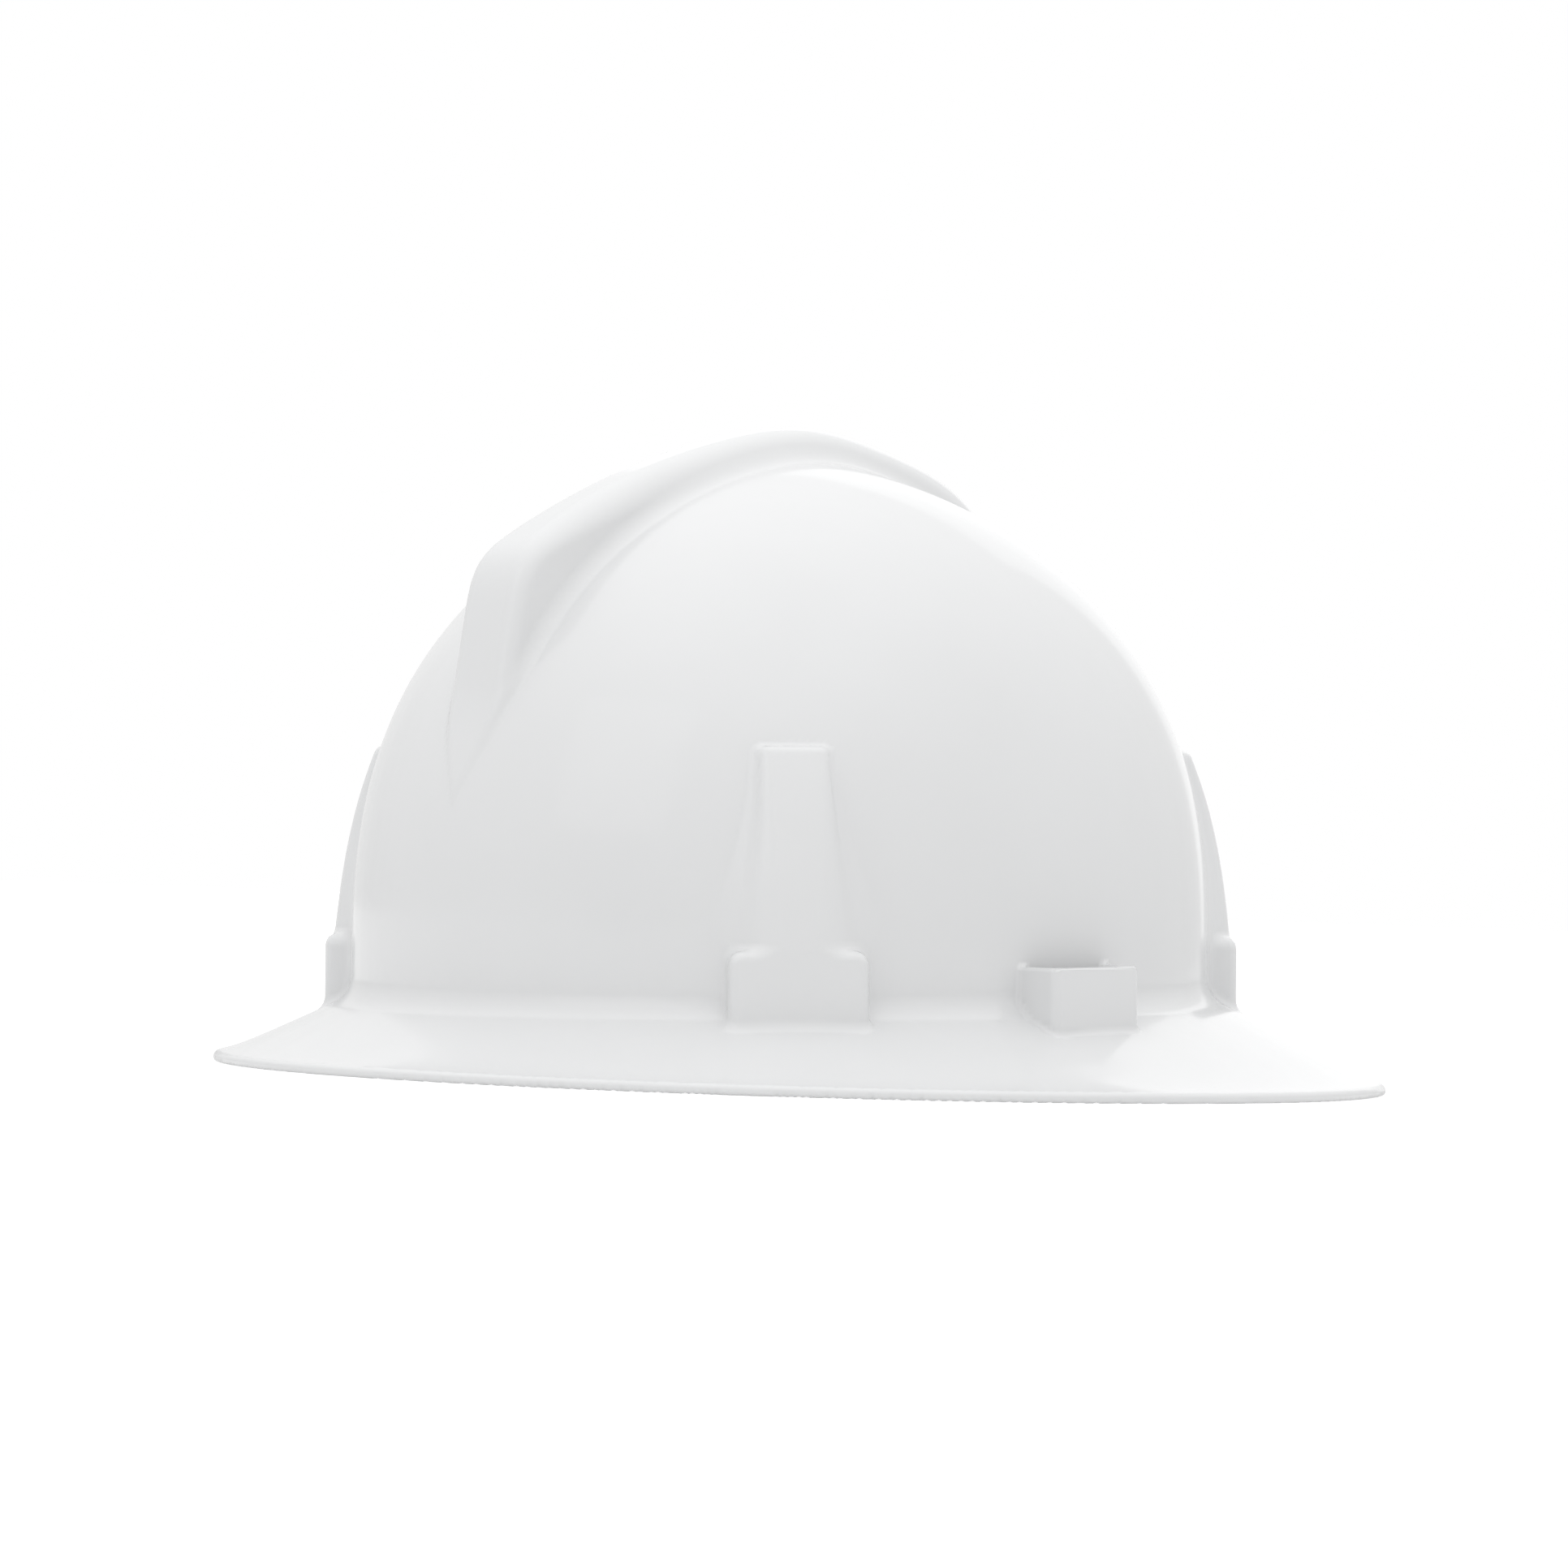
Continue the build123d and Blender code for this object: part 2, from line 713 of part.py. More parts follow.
def make_strap(crown):
    start, end, chord, crossing = strap_line(front_lug_angle, rear_lug_angle)
    rise = crown - key_bar_height
    half = strap_thickness / 2
    hole_radius = key_bar_radius + gap
    sides = []
    for side, reach in ((1, crossing), (-1, chord - crossing)):
        radius = arc_radius(reach, rise)
        centre = (crossing, crown - radius)
        turn = side * degrees(acos((radius - rise) / radius))
        sewn_turn = turn - side * degrees(strap_sewn_length / radius)
        strip = arc_strip(centre, radius - half, radius + half, 0, turn)
        strip += arc_strip(centre, radius - half - strap_thickness, radius + half, sewn_turn, turn)
        bar = Pos(crossing - side * reach, key_bar_height)
        sides.append(strip + bar * Circle(hole_radius + strap_thickness) - bar * Circle(hole_radius))
    along = (end - start).normalized()
    across = along.cross(Vector(0, 0, 1))
    plane = Plane(origin=start, x_dir=along, z_dir=across)
    return extrude(plane * (sides[0] + sides[1]), strap_width / 2, both=True)


def make_crown_pad():
    start, end, chord, crossing = strap_line(front_lug_angle, rear_lug_angle)
    place = start + (end - start) * (crossing / chord)
    radius = arc_radius(chord - crossing, strap_crown - key_bar_height)
    outer = radius - strap_thickness / 2 - gap
    pad = Sphere(outer) - Sphere(outer - crown_pad_thickness)
    pad &= Pos(0, 0, outer) * Cylinder(crown_pad_radius, outer)
    return Pos(0, place.Y, strap_crown - radius) * pad


# Band tails with a toothed window each
def make_tail(side, radius, teeth_up):
    outer = radius + tail_thickness
    tip, root = sorted((-side * tail_tip_angle, side * tail_root_angle))
    tail = rear_plate(radius, outer, tip, root, tail_foot, tail_top)
    middle_radius = radius + tail_thickness / 2
    window_half = degrees((rack_teeth * tooth_pitch / 2 + tooth_tip) / middle_radius)
    plain_edge = pitch_radius + tooth_tip + 2 * gap
    toothed_edge = pitch_radius - tooth_tip
    up = 1 if teeth_up else -1
    low, high = sorted((tail_level + up * toothed_edge, tail_level - up * plain_edge))
    tail -= rear_plate(radius - overrun, outer + overrun, -window_half, window_half, low, high)
    tip_gap = tooth_pitch / 2 + tooth_backlash + 2 * tooth_tip * tan(radians(pressure_angle))
    root_gap = tooth_pitch / 2 + tooth_backlash - 2 * tooth_root * tan(radians(pressure_angle))
    cut = [
        (-tip_gap / 2, toothed_edge), (tip_gap / 2, toothed_edge),
        (root_gap / 2, pitch_radius + tooth_root), (-root_gap / 2, pitch_radius + tooth_root),
    ]
    cut_face = make_face(Polyline(*cut, close=True))
    for number in range(rack_teeth):
        angle = degrees((number - (rack_teeth - 1) / 2) * tooth_pitch / middle_radius)
        turn = radians(angle)
        direction = (sin(turn), cos(turn), 0)
        start = ((radius - gap) * sin(turn), rear_centre + (radius - gap) * cos(turn), tail_level)
        plane = Plane(origin=start, x_dir=(0, 0, up), z_dir=direction)
        sideways = plane.location * Rot(0, 0, -90)
        tail -= sideways * extrude(cut_face, tail_thickness + 2 * gap)
    return tail


# Pinion and shaft, moulded as one
def pinion_outline():
    pressure = radians(pressure_angle)
    base = pitch_radius * cos(pressure)
    thick = tooth_pitch / 2 - tooth_backlash / 2
    half_at_pitch = thick / (2 * pitch_radius)
    root = pitch_radius - tooth_root
    tip = pitch_radius + tooth_tip

    def half_angle(radius):
        if radius < base:
            return half_angle(base)
        slant = acos(base / radius)
        return half_at_pitch + tan(pressure) - pressure - tan(slant) + slant

    levels = [root - gap, base, (base + pitch_radius) / 2, pitch_radius, (pitch_radius + tip) / 2, tip]
    left = [(-r * sin(half_angle(r)), r * cos(half_angle(r))) for r in levels]
    right = [(-x, y) for x, y in reversed(left)]
    tooth = make_face(Polyline(*left, *right, close=True))
    gear = Circle(root)
    for number in range(pinion_teeth):
        gear += Rot(0, 0, number * 360 / pinion_teeth) * tooth
    return gear


def along_shaft(face, from_y, to_y):
    """A face drawn seen from behind the hat, drawn out along the ratchet's axis."""
    plane = Plane(origin=(0, from_y, tail_level), x_dir=(-1, 0, 0), z_dir=(0, 1, 0))
    return plane * extrude(face, to_y - from_y)


def make_pinion_shaft():
    tip = pitch_radius + tooth_tip
    teeth_end = rear_centre + sqrt(cover_inner**2 - tip**2) - gap / 2
    teeth = along_shaft(pinion_outline(), rear_centre + band_outer + gap / 2, teeth_end)
    shaft_end = knob_back + knob_depth - knob_cap_thickness - knob_screw_head - 2 * gap
    shaft = along_shaft(Circle(shaft_radius), rear_centre + band_end_radius, shaft_end)
    drill = along_shaft(Circle(knob_screw_radius), shaft_end - knob_screw_length, shaft_end)
    return teeth + shaft - drill


def make_ratchet_frame():
    foot = tail_foot - gap - cover_side_wall - screw_post_radius
    top = tail_top + gap + cover_side_wall + screw_post_radius
    frame = rear_plate(
        band_end_radius, band_outer, -ratchet_half_angle, ratchet_half_angle, foot, top
    )
    frame -= along_shaft(
        Circle(shaft_radius + running_gap), rear_centre + band_end_radius - overrun,
        rear_centre + band_outer + gap,
    )
    for angle, height in screw_places():
        frame -= round_from_rear(
            band_end_radius - overrun, band_outer + overrun, angle, height, screw_radius + snug_gap
        )
        frame -= round_from_rear(
            band_end_radius - overrun, band_end_radius + screw_head + snug_gap, angle, height,
            screw_head_radius + snug_gap,
        )
    return frame


def screw_places():
    offset_up = tail_height / 2 + gap + cover_side_wall
    return [
        (side * screw_angle, tail_level + up * offset_up) for side in (-1, 1) for up in (-1, 1)
    ]


def make_ratchet_cover():
    foot = tail_foot - gap
    top = tail_top + gap
    cover = rear_plate(
        band_end_radius, cover_outer, -ratchet_half_angle, ratchet_half_angle,
        foot - cover_side_wall, top + cover_side_wall,
    )
    for angle, height in screw_places():
        cover += round_from_rear(
            band_end_radius, cover_outer - gap, angle, height, screw_post_radius
        )
    cover += along_shaft(Circle(boss_radius), rear_centre + cover_inner + gap, boss_end)
    cavity_angle = ratchet_half_angle + overrun_angle
    cover -= rear_plate(
        band_outer - overrun, cover_inner, -cavity_angle, cavity_angle, foot, top
    )
    cover -= rear_plate(
        band_end_radius - overrun, band_outer, -cavity_angle, cavity_angle,
        foot - overrun, top + overrun,
    )
    cover -= along_shaft(Circle(boss_bore), boss_seat, boss_end + overrun)
    cover -= along_shaft(
        Circle(shaft_radius + running_gap), rear_centre + band_outer, boss_end + overrun
    )
    for angle, height in screw_places():
        cover -= round_from_rear(
            band_outer - overrun, band_end_radius + screw_length, angle, height,
            screw_radius + snug_gap,
        )
    return cover


def make_ratchet_screws():
    screws = []
    for angle, height in screw_places():
        head_end = band_end_radius + screw_head
        head = round_from_rear(band_end_radius, head_end, angle, height, screw_head_radius)
        shank = round_from_rear(
            band_end_radius, band_end_radius + screw_length - gap, angle, height, screw_radius
        )
        screws.append(head + shank)
    return screws


# Detent: a toothed ring in the cover and a sprung pawl on the shaft
def make_detent_ring():
    corners = []
    for number in range(2 * detent_teeth):
        turn = pi * number / detent_teeth
        radius = detent_crest if number % 2 else detent_valley
        corners.append((radius * sin(turn), radius * cos(turn)))
    face = Circle(boss_bore - snug_gap) - make_face(Polyline(*corners, close=True))
    return along_shaft(face, boss_seat, boss_seat + detent_thickness)


def make_pawl_spring():
    outer = pawl_arm_radius + pawl_arm_width / 2
    inner = pawl_arm_radius - pawl_arm_width / 2
    ring = Circle(outer) - Circle(inner)
    face = Circle(pawl_hub_radius)
    nib_reach = detent_crest - running_gap - pawl_nib_radius
    for number in range(pawl_arms):
        start = number * 360 / pawl_arms
        span = [(0, 0)]
        for share in (0, 1 / 2, 1):
            turn = radians(start + pawl_arm_angle * share)
            span.append((2 * outer * sin(turn), 2 * outer * cos(turn)))
        face += ring & make_face(Polyline(*span, close=True))
        spoke = Pos(0, outer / 2) * Rectangle(pawl_hub_radius / 2, outer)
        face += Rot(0, 0, -start) * (spoke & Circle(outer))
        turn = radians(start + pawl_arm_angle)
        face += Pos(nib_reach * sin(turn), nib_reach * cos(turn)) * Circle(pawl_nib_radius)
    face -= Circle(shaft_radius + snug_gap)
    return along_shaft(face, boss_seat + gap, boss_seat + gap + pawl_thickness)


def make_knob():
    back = knob_back - knob_skirt
    face_y = knob_back + knob_depth
    body = along_shaft(Circle(knob_radius), back, face_y)
    rim = body.edges().filter_by(GeomType.CIRCLE).sort_by(Axis.Y)[-1]
    body = fillet(rim, knob_rim_round)
    ring = knob_radius + knob_scallop_radius - knob_scallop_depth
    for number in range(knob_scallops):
        turn = radians(number * 360 / knob_scallops)
        scallop = Pos(ring * sin(turn), ring * cos(turn)) * Circle(knob_scallop_radius)
        body -= along_shaft(scallop, back - overrun, face_y + overrun)
    body -= along_shaft(Circle(boss_radius + 2 * gap), back - overrun, knob_back)
    cap_seat = face_y - knob_cap_thickness
    body -= along_shaft(Circle(knob_cap_radius + snug_gap), cap_seat, face_y + overrun)
    head_seat = cap_seat - knob_screw_head - gap
    body -= along_shaft(Circle(knob_screw_head_radius + snug_gap), head_seat, cap_seat)
    body -= along_shaft(Circle(shaft_radius + snug_gap), back - overrun, head_seat)
    return body


def make_knob_screw():
    cap_seat = knob_back + knob_depth - knob_cap_thickness
    head_seat = cap_seat - knob_screw_head - gap
    head = along_shaft(Circle(knob_screw_head_radius), head_seat, head_seat + knob_screw_head)
    shank_radius = knob_screw_radius - snug_gap
    shank = along_shaft(Circle(shank_radius), head_seat - knob_screw_length + gap, head_seat)
    return head + shank


def make_knob_cap():
    face_y = knob_back + knob_depth
    cap = along_shaft(Circle(knob_cap_radius), face_y - knob_cap_thickness, face_y)
    return fillet(cap.edges().sort_by(Axis.Y)[-1], knob_cap_thickness / 3)


def make_nape_pad():
    outer = band_end_radius - gap
    return rear_plate(
        outer - nape_pad_thickness, outer, -nape_pad_half_angle, nape_pad_half_angle,
        tail_foot, tail_top,
    )


def write(name, part):
    """Set a part, or a group of alike parts, down on the brim's plane and write it."""
    group = part if isinstance(part, list) else [part]
    solids = [hat_seat * solid for piece in group for solid in piece.solids()]
    export_step(solids[0] if len(solids) == 1 else Compound(children=solids), f"parts/{name}.step")


export_step(make_shell(), "parts/shell.step")
for end, turns in (
    ("front", (front_lug_angle, rear_lug_angle)), ("rear", (rear_lug_angle, front_lug_angle))
):
    for side, key in zip(("left", "right"), both_sides(make_key(*turns))):
        write(f"key_{end}_{side}", key)
write("crown_strap_lower", make_strap(strap_crown))
upper_crown = strap_crown + strap_thickness + gap + strap_crossing_lift
write("crown_strap_upper", mirror(make_strap(upper_crown), about=Plane.YZ))
write("crown_pad", make_crown_pad())
write("headband", make_headband())
write("brow_pad", make_brow_pad())
write("brow_pad_studs", make_pad_studs())
write("nape_pad", make_nape_pad())
write("left_band_tail", make_tail(1, left_tail_radius, True))
write("right_band_tail", make_tail(-1, right_tail_radius, False))
write("ratchet_frame", make_ratchet_frame())
write("ratchet_cover", make_ratchet_cover())
write("ratchet_screws", make_ratchet_screws())
write("pinion_shaft", make_pinion_shaft())
write("detent_ring", make_detent_ring())
write("pawl_spring", make_pawl_spring())
write("knob", make_knob())
write("knob_screw", make_knob_screw())
write("knob_cap", make_knob_cap())
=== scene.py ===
import json
import math

import bmesh
import bpy
import numpy as np
from mathutils import Matrix, Vector


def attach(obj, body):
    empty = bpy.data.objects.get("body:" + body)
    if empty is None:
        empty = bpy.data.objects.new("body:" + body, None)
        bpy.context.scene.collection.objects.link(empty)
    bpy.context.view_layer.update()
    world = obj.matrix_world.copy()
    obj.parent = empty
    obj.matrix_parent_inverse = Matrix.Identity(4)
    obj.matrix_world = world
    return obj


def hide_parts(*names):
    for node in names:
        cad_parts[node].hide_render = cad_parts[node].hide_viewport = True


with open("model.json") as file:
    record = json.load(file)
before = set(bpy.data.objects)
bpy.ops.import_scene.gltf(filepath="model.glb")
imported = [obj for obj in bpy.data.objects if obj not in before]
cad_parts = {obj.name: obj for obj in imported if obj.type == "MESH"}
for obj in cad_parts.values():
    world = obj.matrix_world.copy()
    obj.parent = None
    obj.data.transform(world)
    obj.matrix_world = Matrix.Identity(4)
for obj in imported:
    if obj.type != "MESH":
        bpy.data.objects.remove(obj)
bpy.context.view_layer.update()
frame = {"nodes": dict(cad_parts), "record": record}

# Everything is drawn in the hat's own frame, in millimetres: front -y, wearer's left +x, up +z.
# seat() sets it down on the brim's edge, in metres.
perMetre = 1000
seatPlace = {"tilt": 2.05, "forward": 8.8, "lift": 19.9}
tiny = 1e-9  # keeps a length from being zero where it divides


def seat(points):
    x, y, z = np.moveaxis(np.asarray(points, float), -1, 0)
    c, s = math.cos(math.radians(seatPlace["tilt"])), math.sin(math.radians(seatPlace["tilt"]))
    placed = [x, y * c - z * s - seatPlace["forward"], y * s + z * c + seatPlace["lift"]]
    return np.stack(placed, -1) / perMetre


def between(pair, share):
    # goes from the first of a pair to the second, for numbers, arrays and shader sockets
    return pair[0] + (pair[1] - pair[0]) * share


# A shader socket that takes part in sums
class Value:
    def __init__(self, tree, link=None):
        self.tree = tree
        self.link = link

    def add(self, kind, settings=None, inputs=None, output=0):
        node = self.tree.nodes.new("ShaderNode" + kind)
        for name, value in (settings or {}).items():
            setattr(node, name, value)
        for name, value in (inputs or {}).items():
            if isinstance(value, Value):
                self.tree.links.new(value.link, node.inputs[name])
            else:
                node.inputs[name].default_value = value
        return Value(self.tree, node.outputs[output])

    def sums(self, operation, *values):
        return self.add("Math", {"operation": operation}, dict(enumerate(values)))

    def __add__(self, other):
        return self.sums("ADD", self, other)

    def __radd__(self, other):
        return self.sums("ADD", other, self)

    def __sub__(self, other):
        return self.sums("SUBTRACT", self, other)

    def __rsub__(self, other):
        return self.sums("SUBTRACT", other, self)

    def __mul__(self, other):
        return self.sums("MULTIPLY", self, other)

    def __rmul__(self, other):
        return self.sums("MULTIPLY", other, self)

    def __pow__(self, other):
        return self.sums("POWER", self, other)


def newMaterial(name, colour, roughness, **sockets):
    material = bpy.data.materials.new(name)
    material.use_nodes = True
    material.diffuse_color = (*colour, 1)
    tree = material.node_tree
    shader = tree.nodes["Principled BSDF"]
    shader.inputs["Base Color"].default_value = (*colour, 1)
    shader.inputs["Roughness"].default_value = roughness
    for socket, value in sockets.items():
        shader.inputs[socket.replace("_", " ")].default_value = value
    start = Value(tree)
    start.place = start.add("TexCoord", output=3)  # object coordinates, in metres
    start.shader = shader
    start.material = material
    return start


def noise(paint, scale, detail=3, roughness=0.5, stretch=None):
    place = paint.place
    if stretch:
        place = paint.add("Mapping", inputs={"Vector": place, "Scale": stretch})
    inputs = {"Vector": place, "Scale": scale, "Detail": detail, "Roughness": roughness}
    return paint.add("TexNoise", inputs=inputs)


def band(paint, factor, low, high, toLow=0.0, toHigh=1.0):
    inputs = {"Value": factor, "From Min": low, "From Max": high, "To Min": toLow, "To Max": toHigh}
    return paint.add("MapRange", inputs=inputs)


def patches(paint, low, high, **texture):
    # soft patches: 0 where the noise is under low, 1 where it is over high
    return band(paint, noise(paint, **texture), low, high)


def cells(paint, scale, smoothness, **sockets):
    inputs = {"Vector": paint.place, "Scale": scale, "Smoothness": smoothness, **sockets}
    return paint.add("TexVoronoi", {"feature": "SMOOTH_F1"}, inputs)


def mixColour(paint, factor, first, second):
    settings = {"data_type": "RGBA"}
    inputs = {0: factor, 6: (*first, 1), 7: (*second, 1)}
    return paint.add("Mix", settings, inputs, output=2)


def bump(paint, height, strength, distance, under=None):
    inputs = {"Height": height, "Strength": strength, "Distance": distance}
    if under:
        inputs["Normal"] = under
    return paint.add("Bump", inputs=inputs)


def feed(paint, socket, value):
    paint.tree.links.new(value.link, paint.shader.inputs[socket])


# In the finishes a bump's pair is its strength and its depth in metres, and a range goes from least
# to most.

# Glossy white shell: faint waviness of the moulding, handling haze and a few fine scuffs
shellFinish = {
    "colour": (0.80, 0.805, 0.81),
    "shade": (0.77, 0.775, 0.78),
    "roughness": 0.13,
    "coat": {"Coat_Weight": 0.25, "Coat_Roughness": 0.05},
    "cloud": {"low": 0.35, "high": 0.7, "scale": 9, "detail": 4, "roughness": 0.55},
    "haze": {"low": 0.42, "high": 0.72, "scale": 28, "detail": 5, "roughness": 0.6},
    "scuff": {"low": 0.66, "high": 0.78, "scale": 260, "roughness": 0.6, "stretch": (1, 0.06, 0.35)},
    "hazeRoughness": 0.07,
    "scuffRoughness": 0.12,
    "wave": {"scale": 55, "detail": 2, "roughness": 0.4},
    "grain": {"scale": 900, "detail": 2},
    "waveBump": (0.35, 0.00024),
    "grainBump": (0.04, 0.00006),
}


def shellMaterial():
    form = shellFinish
    paint = newMaterial("shellPlastic", form["colour"], form["roughness"], IOR=1.5, **form["coat"])
    cloud = patches(paint, **form["cloud"])
    feed(paint, "Base Color", mixColour(paint, cloud, form["colour"], form["shade"]))
    haze, scuff = patches(paint, **form["haze"]), patches(paint, **form["scuff"])
    rougher = form["hazeRoughness"] * haze + form["scuffRoughness"] * scuff * haze
    feed(paint, "Roughness", form["roughness"] + rougher)
    soft = bump(paint, noise(paint, **form["wave"]), *form["waveBump"])
    feed(paint, "Normal", bump(paint, noise(paint, **form["grain"]), *form["grainBump"], soft))
    return paint.material


# Moulded plastics of the suspension: lighter clouds, rubbed spots and a fine moulded grain
plasticFinish = {
    "lighter": (1.22, 0.015),  # times the colour, and so much more
    "cloud": {"low": 0.4, "high": 0.75, "scale": 70, "detail": 4, "roughness": 0.6},
    "cloudShare": 0.6,
    "rub": {"low": 0.5, "high": 0.8, "scale": 190, "detail": 4, "roughness": 0.65},
    "grainSmoothness": 0.6,
    "grainStrength": 0.35,
}


def plasticMaterial(name, colour, roughness, grain=1600, depth=0.00004, wear=0.06):
    form = plasticFinish
    paint = newMaterial(name, colour, roughness, IOR=1.49)
    times, more = form["lighter"]
    lighter = tuple(min(1, c * times + more) for c in colour)
    cloud = patches(paint, **form["cloud"]) * form["cloudShare"]
    feed(paint, "Base Color", mixColour(paint, cloud, colour, lighter))
    feed(paint, "Roughness", roughness - wear * patches(paint, **form["rub"]))
    texture = cells(paint, grain, form["grainSmoothness"])
    feed(paint, "Normal", bump(paint, texture, form["grainStrength"], depth))
    return paint.material


# Zinc plated steel with a dull spangle
steelFinish = {
    "colour": (0.60, 0.60, 0.61),
    "spot": (0.50, 0.50, 0.49),
    "spots": {"low": 0.4, "high": 0.7, "scale": 900, "detail": 4, "roughness": 0.6},
    "roughness": 0.34,
    "roughnessRange": (0.26, 0.44),
    "grain": {"scale": 2500, "detail": 2},
    "grainBump": (0.2, 0.00003),
}


def steelMaterial():
    form = steelFinish
    paint = newMaterial("zincSteel", form["colour"], form["roughness"], Metallic=1.0)
    spots = patches(paint, **form["spots"])
    feed(paint, "Base Color", mixColour(paint, spots, form["colour"], form["spot"]))
    feed(paint, "Roughness", between(form["roughnessRange"], spots))
    feed(paint, "Normal", bump(paint, noise(paint, **form["grain"]), *form["grainBump"]))
    return paint.material


# Woven tape: ribs across the tape, finer picks along it, from the lengths kept on the mesh
tapeFinish = {
    "colour": (0.60, 0.60, 0.585),
    "shadow": (0.36, 0.36, 0.345),
    "rib": 1.25,
    "pick": 0.8,
    "ribShare": 0.3,
    "fuzz": {"scale": 1400, "detail": 4, "roughness": 0.7},
    "lightShares": (0.8, 0.35),  # of the weave, of the fuzz
    "lightRange": (0.12, 0.75),
    "fuzzHeight": 0.3,
    "weaveBump": (0.8, 0.00022),
    "roughness": 0.82,
    "roughnessRange": (0.72, 0.92),
    "sheen": {"Sheen_Weight": 0.25, "Sheen_Roughness": 0.4},
}


def tapeMaterial():
    form = tapeFinish
    paint = newMaterial("wovenTape", form["colour"], form["roughness"], **form["sheen"])
    along = paint.add("Attribute", {"attribute_name": "along"}, output=2)
    across = paint.add("Attribute", {"attribute_name": "across"}, output=2)
    turn = 2 * math.pi
    row = paint.sums("FLOOR", along * (1 / form["rib"]))
    shift = paint.sums("MODULO", row, 2.0) * 0.5  # every other row is half a pick along
    rib = paint.sums("SINE", along * (turn / form["rib"])) * 0.5 + 0.5
    pick = paint.sums("SINE", (across * (1 / form["pick"]) + shift) * turn) * 0.5 + 0.5
    weave = paint.sums("SQRT", rib * pick) * (1 - form["ribShare"]) + rib * form["ribShare"]
    fuzz = noise(paint, **form["fuzz"])
    byWeave, byFuzz = form["lightShares"]
    light = band(paint, byWeave * weave + byFuzz * fuzz, *form["lightRange"])
    feed(paint, "Base Color", mixColour(paint, light, form["shadow"], form["colour"]))
    feed(paint, "Roughness", between(form["roughnessRange"], fuzz))
    feed(paint, "Normal", bump(paint, weave + form["fuzzHeight"] * fuzz, *form["weaveBump"]))
    return paint.material


# Twisted thread of the seams
threadFinish = {
    "colour": (0.72, 0.72, 0.70),
    "shadow": (0.52, 0.52, 0.50),
    "light": (0.74, 0.74, 0.72),
    "roughness": 0.7,
    "twist": {"Scale": 900, "Distortion": 1.5},
    "twistBump": (0.5, 0.00008),
}


def threadMaterial():
    form = threadFinish
    paint = newMaterial("stitchThread", form["colour"], form["roughness"], Sheen_Weight=0.2)
    inputs = {"Vector": paint.place, **form["twist"]}
    twist = paint.add("TexWave", {"bands_direction": "DIAGONAL"}, inputs)
    feed(paint, "Base Color", mixColour(paint, twist, form["shadow"], form["light"]))
    feed(paint, "Normal", bump(paint, twist, *form["twistBump"]))
    return paint.material


# Knitted cloth over foam: small loops, painted shade in the ground between them, and fuzz
clothFinish = {
    "colour": (0.060, 0.060, 0.066),
    "light": (0.135, 0.135, 0.145),
    "loops": {"scale": 620, "smoothness": 0.35, "Randomness": 0.35},
    "raised": (0.05, 0.6),
    "fuzz": {"scale": 1800, "detail": 4, "roughness": 0.7},
    "lightShares": (0.7, 0.5),  # of the loops, of the fuzz
    "lightRange": (0.3, 1.0),
    "fuzzHeight": 0.4,
    "loopBump": (0.7, 0.0003),
    "roughness": 0.9,
    "roughnessRange": (0.8, 0.95),
    "sheen": {"Sheen_Weight": 0.5, "Sheen_Roughness": 0.45},
}


def clothMaterial():
    form = clothFinish
    paint = newMaterial("padCloth", form["colour"], form["roughness"], **form["sheen"])
    raised = band(paint, cells(paint, **form["loops"]), *form["raised"], toLow=1.0, toHigh=0.0)
    fuzz = noise(paint, **form["fuzz"])
    byLoops, byFuzz = form["lightShares"]
    # painted light and shade: lighter on the raised loops, darker in the ground between them, with the
    # fuzz at random
    light = band(paint, byLoops * raised + byFuzz * fuzz, *form["lightRange"])
    feed(paint, "Base Color", mixColour(paint, light, form["colour"], form["light"]))
    feed(paint, "Roughness", between(form["roughnessRange"], fuzz))
    feed(paint, "Normal", bump(paint, raised + form["fuzzHeight"] * fuzz, *form["loopBump"]))
    return paint.material


# Each slot's plastic: colour, roughness, then grain, its depth and the wear where they differ
materials = {
    "shell_plastic": shellMaterial(),
    "suspension_plastic": plasticMaterial("suspensionPlastic", (0.52, 0.53, 0.54), 0.42),
    "webbing": tapeMaterial(),
    "pad_cloth": clothMaterial(),
    "stud_plastic": plasticMaterial("studPlastic", (0.10, 0.10, 0.105), 0.4),
    "ratchet_plastic": plasticMaterial("ratchetPlastic", (0.11, 0.11, 0.118), 0.5, 1100, 0.00008),
    "screw_steel": steelMaterial(),
    "gear_plastic": plasticMaterial("gearPlastic", (0.80, 0.80, 0.76), 0.35, 2200, 0.00002),
    "knob_plastic": plasticMaterial("knobPlastic", (0.075, 0.075, 0.08), 0.46, 900, 0.0001, 0.1),
}
thread = threadMaterial()
print("materials:", len(bpy.data.materials))


# The shell is one smooth skin round a field of signed distances
def ease(share):
    share = np.clip(share, 0, 1)
    return share * share * (3 - 2 * share)


def roundUnion(a, b, r):
    return np.maximum(r, np.minimum(a, b)) - np.hypot(np.maximum(r - a, 0), np.maximum(r - b, 0))


def roundCut(a, b, r):
    return -roundUnion(-a, -b, r)


def roundBox(a, b, r):
    # the distance from a corner of radius r between the sides a and b
    a, b = a + r, b + r
    return np.hypot(np.maximum(a, 0), np.maximum(b, 0)) + np.minimum(np.maximum(a, b), 0) - r


